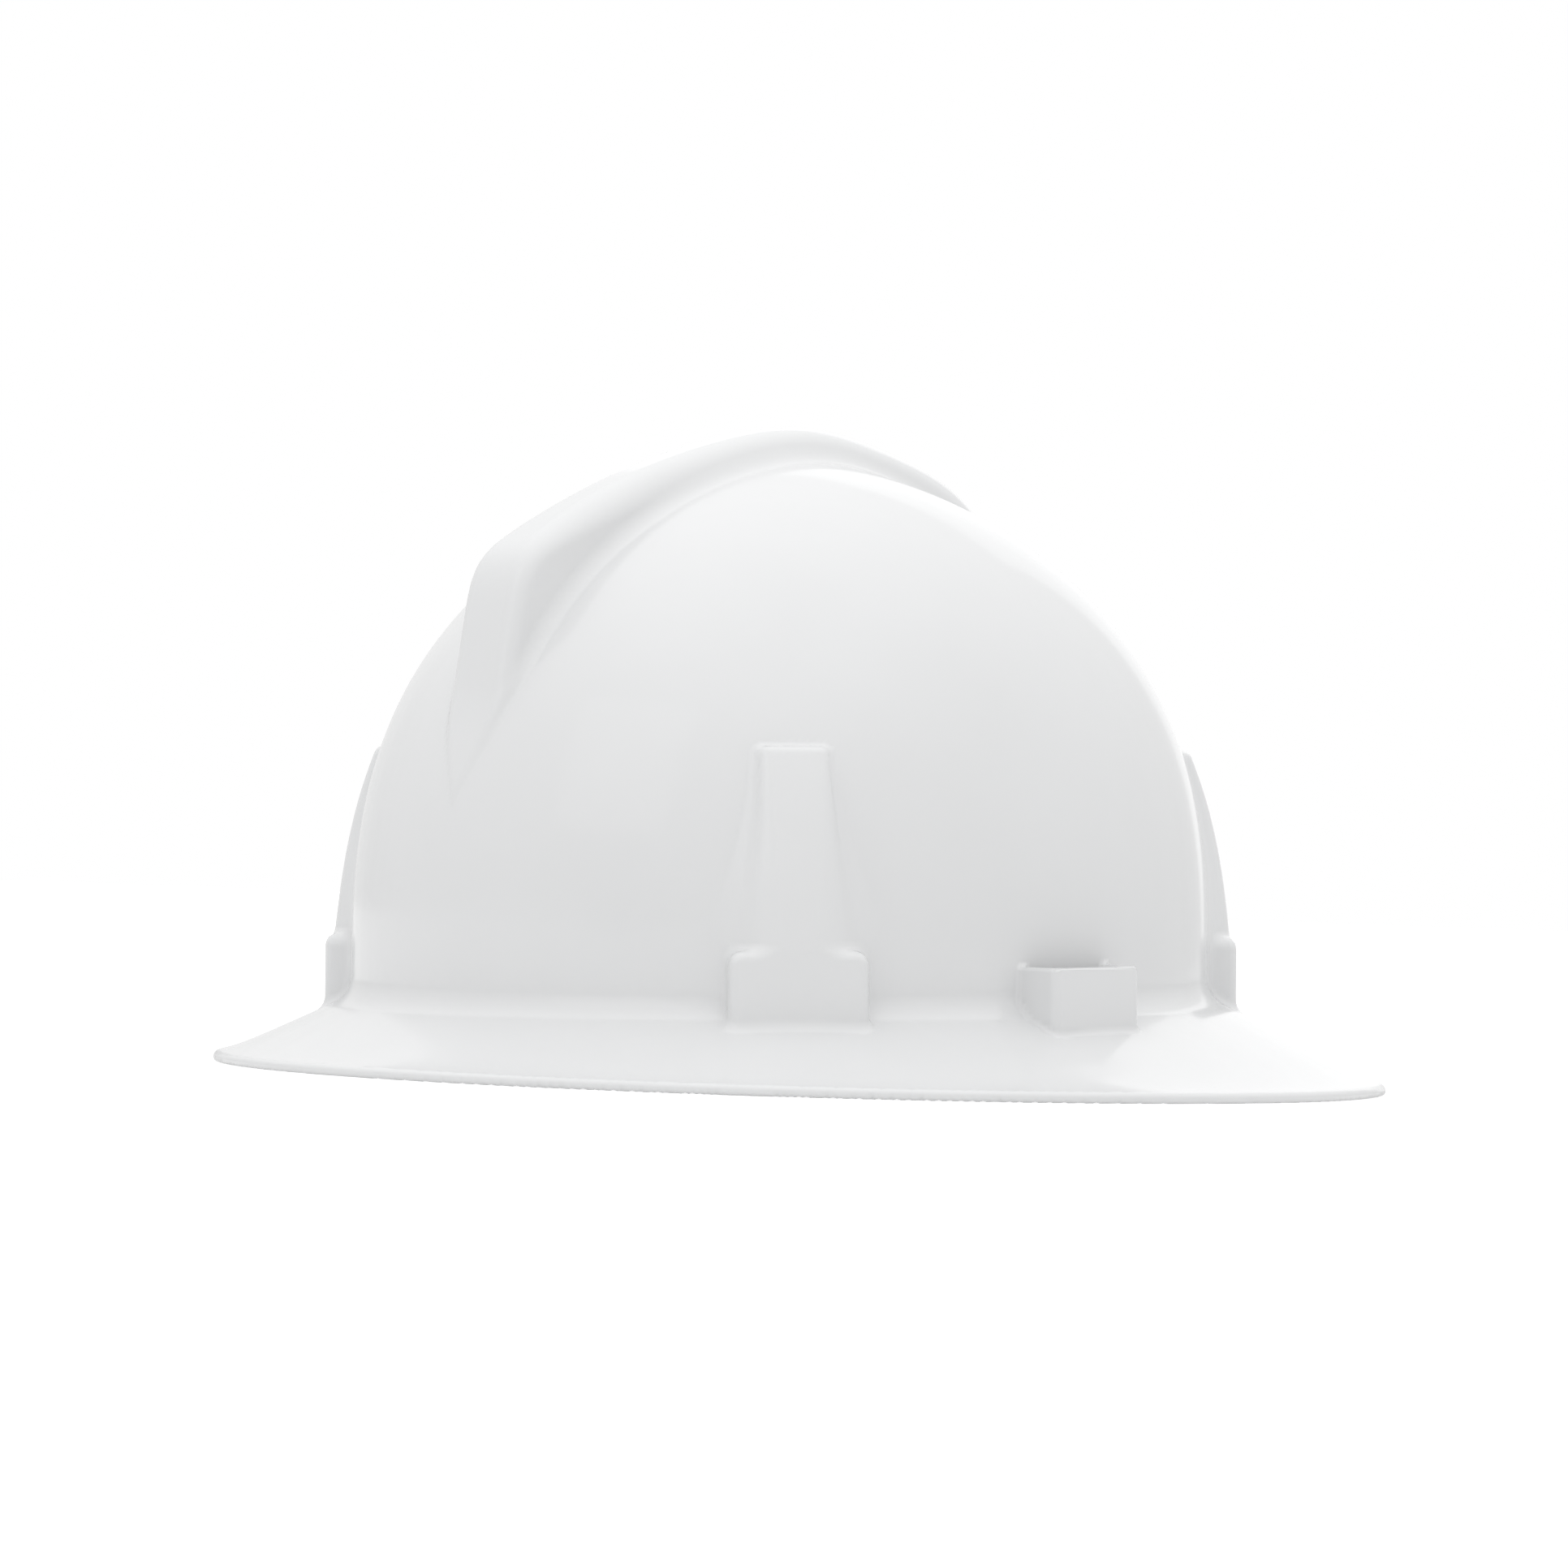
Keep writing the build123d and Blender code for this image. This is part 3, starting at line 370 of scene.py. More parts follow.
# Half sizes go across the hat, then along it. The crest's pairs of roundings go from the brow up.
shellForm = {
    "wall": 2.4,
    "domeHalf": (103.0, 118.0),
    "domeRise": 135.4,
    "domeFoot": 5.0,
    "domeOutline": [(1, 0), (1, 0.357), (1.004, 0.808), (0.240, 1), (0, 1)],  # shares of half and rise
    "flankTop": 80.0,  # up to here the outline is kept against the height too
    "brimHalf": (144.8, 159.0),
    "brimRoot": 1.0,
    "brimLine": [(0.1, 0.1), (0.45, 0.45), (0.84, 0.93), (1, 1)],  # shares of the way out and down
    "lip": 2.4,
    "lipRest": 2.2,
    "lipEdges": (1.15, 0.9),  # outer and lower
    "rootFillet": 4.5,
    "rootHollow": 5.8,
    "hollowEdge": 0.35,
    "crestHalf": 10.5,
    "crestEdge": (4.2, 8.0),
    "crestWidens": (104.0, 26.0),  # from this height, over this rise
    "crestFoot": (0.8, 4.0),
    "crestFootGrows": 45.0,
    "crestHollow": 1.2,
    # the crest's line in (y, z), from the brow over the top to the nape
    "crestLine": [
        (-116.2, 46.1), (-109.0, 72.0), (-103.9, 98.0), (-98.6, 111.8), (-90.0, 118.5), (-61.0, 132.8),
        (-27.0, 143.8), (2.0, 148.1), (36.0, 142.5), (57.0, 134.5), (75.0, 118.2), (97.0, 84.0),
    ],
    "crestDive": 0.8,
    "crestCentre": 40.0,
    "crestPoint": (49.1, 74.4, 2.5),  # its height in the middle and at the flanks, its rounding
    "lugTurns": (50.5, 144.2),  # from the front, in degrees
    "low": (-148, -162, -4),  # the box that holds the shell, for the search
    "high": (148, 162, 172),
    "step": 1.24,
    "rounds": {"full": 4, "quick": 2},
}
# A room is the space that a lug or a pocket is worked out in
lugForm = {
    "half": 16.9,
    "top": 16.4,
    "drop": 8.0,
    "stand": 6.8,
    "corner": 3.5,
    "slotFrom": 0.8,
    "mouthHalf": 8.0,
    "hollowFillet": 0.5,
    "room": {"side": 34.0, "top": 75.0, "inside": -13.0, "outside": 16.0},
}
# Pairs go from the tongue's foot to its top
tongueForm = {
    "foot": 8.0,
    "top": 65.0,
    "half": (8.3, 7.6),
    "stand": (6.8, 2.5),
    "flare": (1.2, 0.5),
    "edge": (2.4, 1.5),
    "fillet": (2.2, 1.3),
    "shoulder": 1.8,
    "thicker": 0.6,
}
pocketForm = {
    "half": 15.5,
    "middle": -5.2,
    "stand": 10.7,
    "top": 12.0,
    "foot": -8.0,
    "wall": 2.3,
    "corner": 2.2,
    "insideCorner": 0.9,
    "rim": 0.7,
    "mouth": 0.6,
    "fillet": 1.2,
    "room": {"side": 24.0, "top": 20.0, "inside": -20.0, "outside": 8.0},
}
# The brim is found by a few Newton steps, which are held where they would run away
brimSearch = {"turns": 4, "share": (-0.45, 1.5), "slope": -0.1, "steep": 0.05, "past": 0.93}
fitOrders = {"dome": 10, "flank": 6, "brim": (2, 3, 4, 5)}


def bezier(points, count=400):
    t = np.linspace(0, 1, count)[:, None]
    line = np.repeat(np.array(points, float)[:, None, :], count, axis=1)
    while len(line) > 1:
        line = line[:-1] * (1 - t) + line[1:] * t
    return line[0].T


class Shell:
    def __init__(self, form):
        # the dome's outline against its angle, its flank against the height, and the brim's droop
        self.form = form
        out, up = bezier(form["domeOutline"])
        self.orders = 2 * np.arange(fitOrders["dome"])
        basis = np.cos(np.outer(np.arctan2(up, out), self.orders))
        self.series = np.linalg.lstsq(basis, np.hypot(out, up), rcond=None)[0]
        height = up * form["domeRise"] + form["domeFoot"]
        low = height < form["flankTop"]
        self.shares = np.polyfit(height[low], out[low], fitOrders["flank"])
        out, down = bezier(form["brimLine"])
        past = out - out[0]
        powers = np.stack([past**n for n in fitOrders["brim"]], 1)
        self.droop = np.linalg.lstsq(powers, down - out, rcond=None)[0]
        self.crestKnots()

    def crestKnots(self):
        # the crest's line as a distance from its centre against the angle, a natural cubic spline
        points = np.array(self.form["crestLine"][::-1], float) - (0, self.form["crestCentre"])
        angle, reach = np.arctan2(points[:, 1], points[:, 0]), np.hypot(*points.T)
        gaps, count = np.diff(angle), len(angle)
        system, right = np.eye(count), np.zeros(count)
        for n in range(1, count - 1):
            system[n, n - 1:n + 2] = gaps[n - 1], 2 * (gaps[n - 1] + gaps[n]), gaps[n]
            rises = (reach[n + 1] - reach[n]) / gaps[n] - (reach[n] - reach[n - 1]) / gaps[n - 1]
            right[n] = 6 * rises
        self.crest = angle, reach, gaps, np.linalg.solve(system, right)

    def crestReach(self, angle):
        knots, reach, gaps, bend = self.crest
        inside = np.clip(angle, knots[0], knots[-1])
        n = np.clip(np.searchsorted(knots, inside) - 1, 0, len(gaps) - 1)
        h, a, b = gaps[n], knots[n + 1] - inside, inside - knots[n]
        value = (bend[n] * a**3 + bend[n + 1] * b**3) / (6 * h)
        value += (reach[n] / h - bend[n] * h / 6) * a + (reach[n + 1] / h - bend[n + 1] * h / 6) * b
        slope = (bend[n + 1] * b**2 - bend[n] * a**2) / (2 * h)
        slope += (reach[n + 1] - reach[n]) / h - (bend[n + 1] - bend[n]) * h / 6
        # beyond its ends the line dives into the dome
        past = np.minimum(np.abs(angle - inside), 1)
        return value * (1 - self.form["crestDive"] * past), slope

    def dome(self, x, y, z, inset):
        form = self.form
        a, b, h = form["domeHalf"][0] - inset, form["domeHalf"][1] - inset, form["domeRise"] - inset
        across, along, up = x / a, y / b, np.maximum((z - form["domeFoot"]) / h, 0)
        out = np.hypot(across, along) + tiny
        radius = np.hypot(out, up)
        turns = np.arctan2(up, out)[:, None] * self.orders
        reach = np.cos(turns) @ self.series
        slope = -np.sin(turns) @ (self.series * self.orders)
        byOut = out / radius + slope * up / radius**2
        byUp = up / radius - slope * out / radius**2
        steep = np.hypot(byOut * np.hypot(across / a, along / b) / out, byUp / h)
        return (radius - reach) / steep

    def brim(self, x, y, z):
        # the share of the way out to the edge, then the height over the brim's upper face there
        form, forward, search = self.form, seatPlace["forward"], brimSearch
        (a, b), (wide, long) = form["domeHalf"], form["brimHalf"]
        growX, growY = wide - a, long - b
        share = (np.hypot(x / a, (y + forward) / b) - 1) * (a + b) / (growX + growY)
        for turn in range(search["turns"] + 1):
            share = np.clip(share, *search["share"])
            w, l, deep = a + growX * share, b + growY * share, y + forward * (1 - share)
            ring = np.hypot(x / w, deep / l) + tiny
            byX, byY = x**2 * growX / w**3, deep * forward / l**2 + deep**2 * growY / l**3
            byShare = np.minimum(-(byX + byY) / ring, search["slope"])
            steep = np.hypot(x / w**2, deep / l**2) / ring / -byShare
            steep = np.minimum(steep, search["steep"])
            if turn < search["turns"]:
                share = share - (ring - 1) / byShare
        past = np.clip(share - form["brimLine"][0][0], 0, search["past"])[:, None]
        powers = np.array(fitOrders["brim"])
        down = share + past**powers @ self.droop
        fall = 1 + past**(powers - 1) @ (self.droop * powers)
        drop = form["lip"] - seatPlace["lift"] - form["brimRoot"]
        tilt = math.radians(seatPlace["tilt"]) * (1 - share)
        height = seatPlace["lift"] + form["brimRoot"] + drop * down + deep * np.tan(tilt)
        over = (z - height) / np.hypot(1, drop * fall * steep)
        return over, (share - 1) / steep

    def lugs(self, x, y, z, solid, hollow):
        form, lug, tongue = self.form, lugForm, tongueForm
        (a, b), wall, room = form["domeHalf"], form["wall"], lug["room"]
        for turn in form["lugTurns"]:
            turn = math.radians(turn)
            origin = np.array([a * math.sin(turn), -b * math.cos(turn)])
            normal = origin / np.array([a, b])**2
            normal /= np.hypot(*normal)
            out = (x - origin[0]) * normal[0] + (y - origin[1]) * normal[1]
            side = np.abs(-(x - origin[0]) * normal[1] + (y - origin[1]) * normal[0])
            beside = (side < room["side"]) & (z < room["top"])
            near = np.flatnonzero(beside & (out > room["inside"]) & (out < room["outside"]))
            if not len(near):
                continue
            u, v, w = side[near], z[near], out[near]
            middle, tall = (lug["top"] - lug["drop"]) / 2, (lug["top"] + lug["drop"]) / 2
            outline = roundBox(v - middle - tall, u - lug["half"], lug["corner"])
            # the tongue stands off the dome's flank, less and less towards its top
            share = (v - tongue["foot"]) / (tongue["top"] - tongue["foot"])
            fall = np.maximum(v - lug["top"], 0) / (tongue["top"] - lug["top"])
            half, stand = between(tongue["half"], share), between(tongue["stand"], fall)
            flare, edge, fillet = (between(tongue[n], ease(fall)) for n in ("flare", "edge", "fillet"))
            narrower = np.polyval(self.shares, np.maximum(v, 0)) - 1
            face = origin @ normal * narrower + stand
            front, flank = w - face, (u - half - flare * (face - w)) / np.hypot(1, flare)
            raised = roundUnion(outline, np.maximum(flank, -lug["drop"] - v), tongue["shoulder"])
            raised = roundCut(roundCut(raised, front, edge), v - tongue["top"], edge)
            solid[near] = roundUnion(solid[near], raised, fillet)
            # the key's slot, its mouth towards the head, and the hollow of the tongue
            depth = lug["stand"] - wall - lug["slotFrom"]
            slot = np.maximum(outline + wall, np.abs(w - lug["slotFrom"] - depth / 2) - depth / 2)
            mouth = np.maximum(u - lug["mouthHalf"], v - lug["top"] + wall)
            mouth = np.maximum(mouth, w - lug["slotFrom"])
            core = np.maximum(np.maximum(front, flank), v - tongue["top"]) + wall + tongue["thicker"]
            core = np.maximum(core, tongue["foot"] - v)
            taken = np.minimum(np.minimum(slot, mouth), core)
            hollow[near] = roundUnion(hollow[near], taken, lug["hollowFillet"])

    def pockets(self, x, y, z, solid):
        pocket, room = pocketForm, pocketForm["room"]
        out, side = x - self.form["domeHalf"][0] - pocket["stand"], np.abs(y - pocket["middle"])
        beside = (side < room["side"]) & (z < room["top"])
        near = np.flatnonzero(beside & (out > room["inside"]) & (out < room["outside"]))
        if not len(near):
            return
        out, side, v = out[near], side[near] - pocket["half"], z[near]
        ends = np.maximum(v - pocket["top"], pocket["foot"] - v)
        block = roundCut(roundBox(out, side, pocket["corner"]), ends, pocket["rim"])
        inside = roundBox(out + pocket["wall"], side + pocket["wall"], pocket["insideCorner"])
        walls = roundCut(block, -inside, pocket["mouth"])
        solid[near] = roundUnion(solid[near], walls, pocket["fillet"])

    def field(self, points):
        # the points are already seated, in millimetres: yRow and zRow there, y and z in the hat's frame
        form, wall = self.form, self.form["wall"]
        x, yRow, zRow = np.abs(points[:, 0]), points[:, 1], points[:, 2]
        tilt = math.radians(seatPlace["tilt"])
        c, s = math.cos(tilt), math.sin(tilt)
        y = (yRow + seatPlace["forward"]) * c + (zRow - seatPlace["lift"]) * s
        z = (zRow - seatPlace["lift"]) * c - (yRow + seatPlace["forward"]) * s
        over, edge = self.brim(x, yRow, zRow)
        solid = roundUnion(self.dome(x, y, z, 0), over, form["rootFillet"])
        under = np.maximum(over + wall, edge + form["lipRest"])
        hollow = roundUnion(self.dome(x, y, z, wall), under, form["rootHollow"])
        # the crest, between its line and two flanks, cut to a point over the brow
        rise = z - form["crestCentre"]
        angle, radius = np.arctan2(rise, y), np.hypot(y, rise) + tiny
        angle = np.where(angle < -math.pi / 2, angle + 2 * math.pi, angle)
        reach, slope = self.crestReach(angle)
        line = (radius - reach) / np.hypot(1, slope / radius)
        widensAt, widensOver = form["crestWidens"]
        crestEdge = between(form["crestEdge"], ease((z - widensAt) / widensOver))
        crest = roundCut(line, x - form["crestHalf"], crestEdge)
        point, taper, pointEdge = form["crestPoint"]
        climb = (taper - point) / form["crestHalf"]
        vee = (point + climb * x - z) / math.hypot(1, climb)
        crest = roundCut(crest, vee, pointEdge)
        grown = np.clip((z - point) / form["crestFootGrows"], 0, 1)
        solid = roundUnion(solid, crest, between(form["crestFoot"], grown))
        core = roundCut(line + wall, x - form["crestHalf"] + wall, crestEdge - wall)
        hollow = roundUnion(hollow, np.maximum(core, vee + wall), form["crestHollow"])
        self.lugs(x, y, z, solid, hollow)
        self.pockets(x, y, z, solid)
        lipEdge, restEdge = form["lipEdges"]
        solid = roundCut(roundCut(solid, edge, lipEdge), -zRow, restEdge)
        return roundCut(solid, -hollow, form["hollowEdge"])


def evaluate(field, points, batch=400000):
    parts = [field(points[n:n + batch]) for n in range(0, len(points), batch)]
    return np.concatenate(parts)


def gradient(field, points, reach=0.04):
    sides = []
    for axis in range(3):
        step = np.zeros(3)
        step[axis] = reach
        rise = evaluate(field, points + step) - evaluate(field, points - step)
        sides.append(rise / (2 * reach))
    return np.stack(sides, 1)


def unit(vectors):
    return vectors / (np.linalg.norm(vectors, axis=1, keepdims=True) + tiny)


def endsOf(axis):
    # the parts of a grid that lie before and after each step along one axis
    first, last = [slice(None)] * 3, [slice(None)] * 3
    first[axis], last[axis] = slice(None, -1), slice(1, None)
    return tuple(first), tuple(last)


def skin(field, low, high, step, skip=4, margin=1.6, outside=9.0):
    # surface nets: a point in each cell that the surface crosses, a face round each edge that it cuts
    low = np.array(low, float)
    counts = ((np.ceil((np.array(high) - low) / step) // skip + 1) * skip + 1).astype(int)
    coarse = [low[n] + step * np.arange(0, counts[n], skip) for n in range(3)]
    wide = np.stack(np.meshgrid(*coarse, indexing="ij"), -1)
    rough = evaluate(field, wide.reshape(-1, 3)).reshape(wide.shape[:3])
    near = np.abs(rough) < margin * skip * step
    for axis in range(3):
        first, last = endsOf(axis)
        grown = near.copy()
        grown[last] |= near[first]
        grown[first] |= near[last]
        near = grown
    mask = near[:-1, :-1, :-1].repeat(skip, 0).repeat(skip, 1).repeat(skip, 2)
    values = np.full(counts, outside)
    nodes = np.argwhere(mask)
    values[tuple(nodes.T)] = evaluate(field, low + step * nodes)
    size = int(np.prod(counts))
    total, sums, quads = np.zeros(size), np.zeros((3, size)), []
    for axis in range(3):
        first, last = endsOf(axis)
        here = np.argwhere((values[first] < 0) != (values[last] < 0))
        there = here.copy()
        there[:, axis] += 1
        near, far = values[tuple(here.T)], values[tuple(there.T)]
        place = here.astype(float)
        place[:, axis] += near / (near - far)
        others = [n for n in range(3) if n != axis]
        ring = []
        for shift in ((0, 0), (1, 0), (1, 1), (0, 1)):
            cell = here.copy()
            cell[:, others] -= shift
            index = np.ravel_multi_index(cell.T, counts)
            ring.append(index)
            total += np.bincount(index, minlength=size)
            for n in range(3):
                sums[n] += np.bincount(index, place[:, n], minlength=size)
        ring = np.stack(ring, 1)
        turned = (near < 0) == (axis == 1)
        ring[turned] = ring[turned][:, ::-1]
        quads.append(ring)
    used = total > 0
    names = np.cumsum(used) - 1
    points = low + step * (sums[:, used] / total[used]).T
    return points, names[np.concatenate(quads)]


# Each point slides to the middle of its neighbours and back to the surface, close to where it began.
# Stride and stray are shares of the step, and agree is the range of the cosine between two normals.
settleForm = {"slide": 0.5, "stride": 0.6, "stray": 0.7, "agree": (0.6, 0.9)}


def settle(field, points, quads, step, rounds):
    edges = np.concatenate([quads[:, [n, (n + 1) % 4]] for n in range(4)])
    edges = np.concatenate([edges, edges[:, ::-1]])
    size, start = len(points), points
    stride, stray = settleForm["stride"] * step, settleForm["stray"] * step
    share = np.bincount(edges[:, 0], minlength=size)[:, None]
    for turn in range(rounds):
        slope = gradient(field, points)
        length = np.linalg.norm(slope, axis=1, keepdims=True) + tiny
        normal = slope / length
        pull = [np.bincount(edges[:, 0], points[edges[:, 1], n], minlength=size) for n in range(3)]
        pull = np.stack(pull, 1) / share - points
        pull -= normal * np.sum(pull * normal, 1, keepdims=True)
        slide = settleForm["slide"] if turn < rounds - 1 else 0
        value = evaluate(field, points)[:, None] / length
        points = points + slide * pull - normal * np.clip(value, -stride, stride)
        points = start + np.clip(points - start, -stray, stray)
    # where the field's own normal departs from the mesh, as in a tight corner, the mesh's is used
    normal = unit(gradient(field, points))
    corners = points[quads]
    facing = np.cross(corners[:, 2] - corners[:, 0], corners[:, 3] - corners[:, 1])
    corner, owned = quads.T.ravel(), [np.tile(facing[:, n], 4) for n in range(3)]
    average = unit(np.stack([np.bincount(corner, values, minlength=size) for values in owned], 1))
    least, full = settleForm["agree"]
    keep = ease((np.sum(average * normal, 1, keepdims=True) - least) / (full - least))
    return points, unit(normal * keep + average * (1 - keep))


def newMesh(name, points, faces, normals=None):
    mesh = bpy.data.meshes.new(name)
    mesh.from_pydata(points.tolist(), [], faces)
    mesh.polygons.foreach_set("use_smooth", [True] * len(mesh.polygons))
    if normals is not None:
        mesh.normals_split_custom_set_from_vertices(normals.tolist())
    mesh.update()
    made = bpy.data.objects.new(name, mesh)
    bpy.context.scene.collection.objects.link(made)
    return made


def makeShell(form):
    field, rounds = Shell(form).field, form["rounds"]["full"]
    points, quads = skin(field, form["low"], form["high"], form["step"])
    points, normals = settle(field, points, quads, form["step"], rounds)
    shell = newMesh("hatShell", points / perMetre, quads.tolist(), normals)
    shell.data.materials.append(materials["shell_plastic"])
    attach(shell, "hat")
    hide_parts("shell")
    print("shell:", len(points), "points")


makeShell(shellForm)


# Soft pieces are drawn as rings or plates of points, in the hat's frame
def softMesh(name, points, faces, slotName, node=None, finish=None):
    made = newMesh(name, seat(points), faces)
    work = bmesh.new()
    work.from_mesh(made.data)
    bmesh.ops.recalc_face_normals(work, faces=work.faces)
    work.to_mesh(made.data)
    work.free()
    made.data.materials.append(finish or materials[slotName])
    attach(made, "hat")
    if node:
        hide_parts(node)
    return made


def ringFaces(count, size):
    index = np.arange(count * size).reshape(count, size)
    after = np.roll(index, -1, axis=1)
    faces = np.stack([index[:-1], after[:-1], after[1:], index[1:]], -1).reshape(-1, 4).tolist()
    return faces + [index[0][::-1].tolist(), index[-1].tolist()]


# A run of stitches: short raised threads between two corners, place(u, v) gives the face there
stitchForm = {
    "length": 0.72,  # share of the pitch
    "pitch": 2.9,
    "radius": 0.26,
    "tip": 0.45,  # share of the radius
    "rise": 0.2,
    "sink": 0.08,
    "sides": 6,
    "steps": 7,
}


def stitchRun(corners, place, closed=False):
    corners = np.array(corners + corners[:1] if closed else corners, float)
    threads = []
    for start, end in zip(corners, corners[1:]):
        count = max(1, round(float(np.hypot(*(end - start))) / stitchForm["pitch"]))
        for number in range(count):
            middle, reach = (number + 0.5) / count, stitchForm["length"] / 2 / count
            share = np.linspace(middle - reach, middle + reach, stitchForm["steps"])[:, None]
            threads.append(place(*(start + (end - start) * share).T))
    return threads


def stitchMesh(name, threads, slotName):
    form, points, faces = stitchForm, [], []
    turns = np.linspace(0, 2 * math.pi, form["sides"], endpoint=False)
    arch = np.sin(np.linspace(0, math.pi, form["steps"]))
    width = form["radius"] * between((form["tip"], 1), np.sqrt(arch))[:, None, None]
    for line, outward in threads:
        along = np.gradient(line, axis=0)
        along /= np.linalg.norm(along, axis=1, keepdims=True)
        across = np.cross(along, outward)
        centre = line + outward * (form["rise"] * arch - form["sink"])[:, None]
        ring = np.cos(turns)[:, None] * across[:, None] + np.sin(turns)[:, None] * outward[:, None]
        shift = len(points) * len(arch) * len(turns)
        points.append((centre[:, None] + ring * width).reshape(-1, 3))
        faces += [[corner + shift for corner in face] for face in ringFaces(len(arch), len(turns))]
    return softMesh(name, np.concatenate(points), faces, slotName, finish=thread)


# Crown straps: one length of webbing each, turned round a bar at both ends and sewn to itself
strapForm = {
    "width": 19.0,
    "thickness": 1.2,
    "crowns": {"Lower": 100.0, "Upper": 102.1},
    "bar": 19.4,  # its height
    "set": 10.2,  # how far the bar is inside the dome
    "wrap": 2.5,
    "wrapSteps": 12,
    "layer": 1.26,
    "merge": 13.0,  # the length in which the two layers meet
    "under": 28.0,
    "spacing": 0.9,
    "columns": 13,
    "edge": 0.5,
    "edgePoints": [(0.15, 0.75), (0.0, 0.2), (0.0, -0.2), (0.15, -0.75)],  # how far in, share of half
    "cup": 0.1,
    "box": (13.5, 25.0, 7.4),  # the stitches' box: from, to, and half its width
}


def barPlace(turn, side):
    a, b = shellForm["domeHalf"]
    origin = np.array([a * math.sin(math.radians(turn)), -b * math.cos(math.radians(turn))])
    normal = origin / np.array([a, b])**2
    place = origin - normal / np.hypot(*normal) * strapForm["set"]
    return np.array([side * place[0], place[1], 0])


class Strap:
    def __init__(self, crown, side):
        front, rear = shellForm["lugTurns"]
        self.crown = crown
        self.start, end = barPlace(front, side), barPlace(rear, -side)
        self.chord = np.linalg.norm(end - self.start)
        self.along = (end - self.start) / self.chord
        self.across = np.cross(self.along, (0, 0, 1))
        self.crossing = self.chord * self.start[0] / (self.start[0] - end[0])
        self.rise = crown - strapForm["bar"]

    def arc(self, half):
        reach = self.crossing if half < 0 else self.chord - self.crossing
        radius = (reach**2 + self.rise**2) / (2 * self.rise)
        return radius, math.acos((radius - self.rise) / radius)

    def at(self, half, s, offset):
        # a point a length s from the bar of one half, lifted off the strap's middle line
        radius, turn = self.arc(half)
        angle = turn - s / radius
        out, up = half * np.sin(angle), np.cos(angle)
        x, z = self.crossing + (radius + offset) * out, self.crown - radius + (radius + offset) * up
        return self.space(x, z), self.space(out, up) - self.space(0 * out, 0 * up)

    def space(self, x, z):
        return self.start + np.multiply.outer(x, self.along) + np.multiply.outer(z, (0, 0, 1))

    def lift(self, s, layer):
        return layer + (strapForm["wrap"] - layer) * (1 - ease(s / strapForm["merge"]))

    def half(self, half):
        radius, turn = self.arc(half)
        s = np.linspace(0, radius * turn, int(radius * turn / strapForm["spacing"]))
        below = np.linspace(strapForm["under"], 0, int(strapForm["under"] / strapForm["spacing"]))
        under = self.at(half, below, -self.lift(below, strapForm["layer"]))[0]
        bar, up = self.at(half, np.zeros(1), 0)
        outward = self.space(half * math.cos(turn), -math.sin(turn)) - self.start
        phi = np.linspace(0, math.pi, strapForm["wrapSteps"] + 2)[1:-1, None]
        ring = bar + strapForm["wrap"] * (outward * np.sin(phi) - up * np.cos(phi))
        return np.concatenate([under, ring, self.at(half, s, self.lift(s, 0))[0]])

    def path(self):
        return np.concatenate([self.half(-1), self.half(1)[::-1][1:]])

    def section(self):
        # the tape's cross section: places across it and shares of half its thickness
        half, points = strapForm["width"] / 2, strapForm["edgePoints"]
        flat = np.linspace(half - strapForm["edge"], strapForm["edge"] - half, strapForm["columns"])
        edge, bend = np.array([inset - half for inset, _ in points]), np.array([n for _, n in points])
        across = np.concatenate([flat, edge, flat[::-1], -edge])
        return across, np.concatenate([flat * 0 + 1, bend, flat * 0 - 1, -bend])


def makeStrap(name, crown, side):
    strap = Strap(crown, side)
    path = strap.path()
    along = np.gradient(path, axis=0)
    along /= np.linalg.norm(along, axis=1, keepdims=True)
    outward = np.cross(along, strap.across)
    outward *= np.sign(outward[len(path) // 2, 2])
    half, thick, cup = strapForm["width"] / 2, strapForm["thickness"] / 2, strapForm["cup"]
    w, n = strap.section()
    lift = n * thick - cup * (w / half)**2
    rings = path[:, None] + w[:, None] * strap.across + lift[:, None] * outward[:, None]
    faces, node = ringFaces(*rings.shape[:2]), "crown_strap_" + name.lower()
    made = softMesh("crownStrap" + name, rings.reshape(-1, 3), faces, "webbing", node)
    lengths = np.cumsum(np.linalg.norm(np.diff(path, axis=0, prepend=path[:1]), axis=1))
    lengthways = {"along": np.repeat(lengths, len(w)), "across": np.tile(w, len(path))}
    for label, values in lengthways.items():
        attribute = made.data.attributes.new(label, "FLOAT", "POINT")
        attribute.data.foreach_set("value", values.astype(np.float32))
    # the box of stitches with its cross, on both faces at both ends
    near, far, wide = strapForm["box"]
    box = [(near, -wide), (far, -wide), (far, wide), (near, wide)]
    threads = []
    for end in (-1, 1):
        for face, offset in ((1, thick), (-1, -strapForm["layer"] - thick)):
            def place(s, across, end=end, face=face, offset=offset):
                points, up = strap.at(end, s, offset - face * cup * (across / half)**2)
                return points + across[:, None] * strap.across, face * up

            threads += stitchRun(box, place, closed=True)
            threads += stitchRun([box[0], box[2]], place) + stitchRun([box[1], box[3]], place)
    stitchMesh("strapStitches" + name, threads, "webbing")
    return strap


straps = {}
for (strapName, strapCrown), strapSide in zip(strapForm["crowns"].items(), (1, -1)):
    straps[strapName] = makeStrap(strapName, strapCrown, strapSide)
print("straps:", ", ".join(straps))


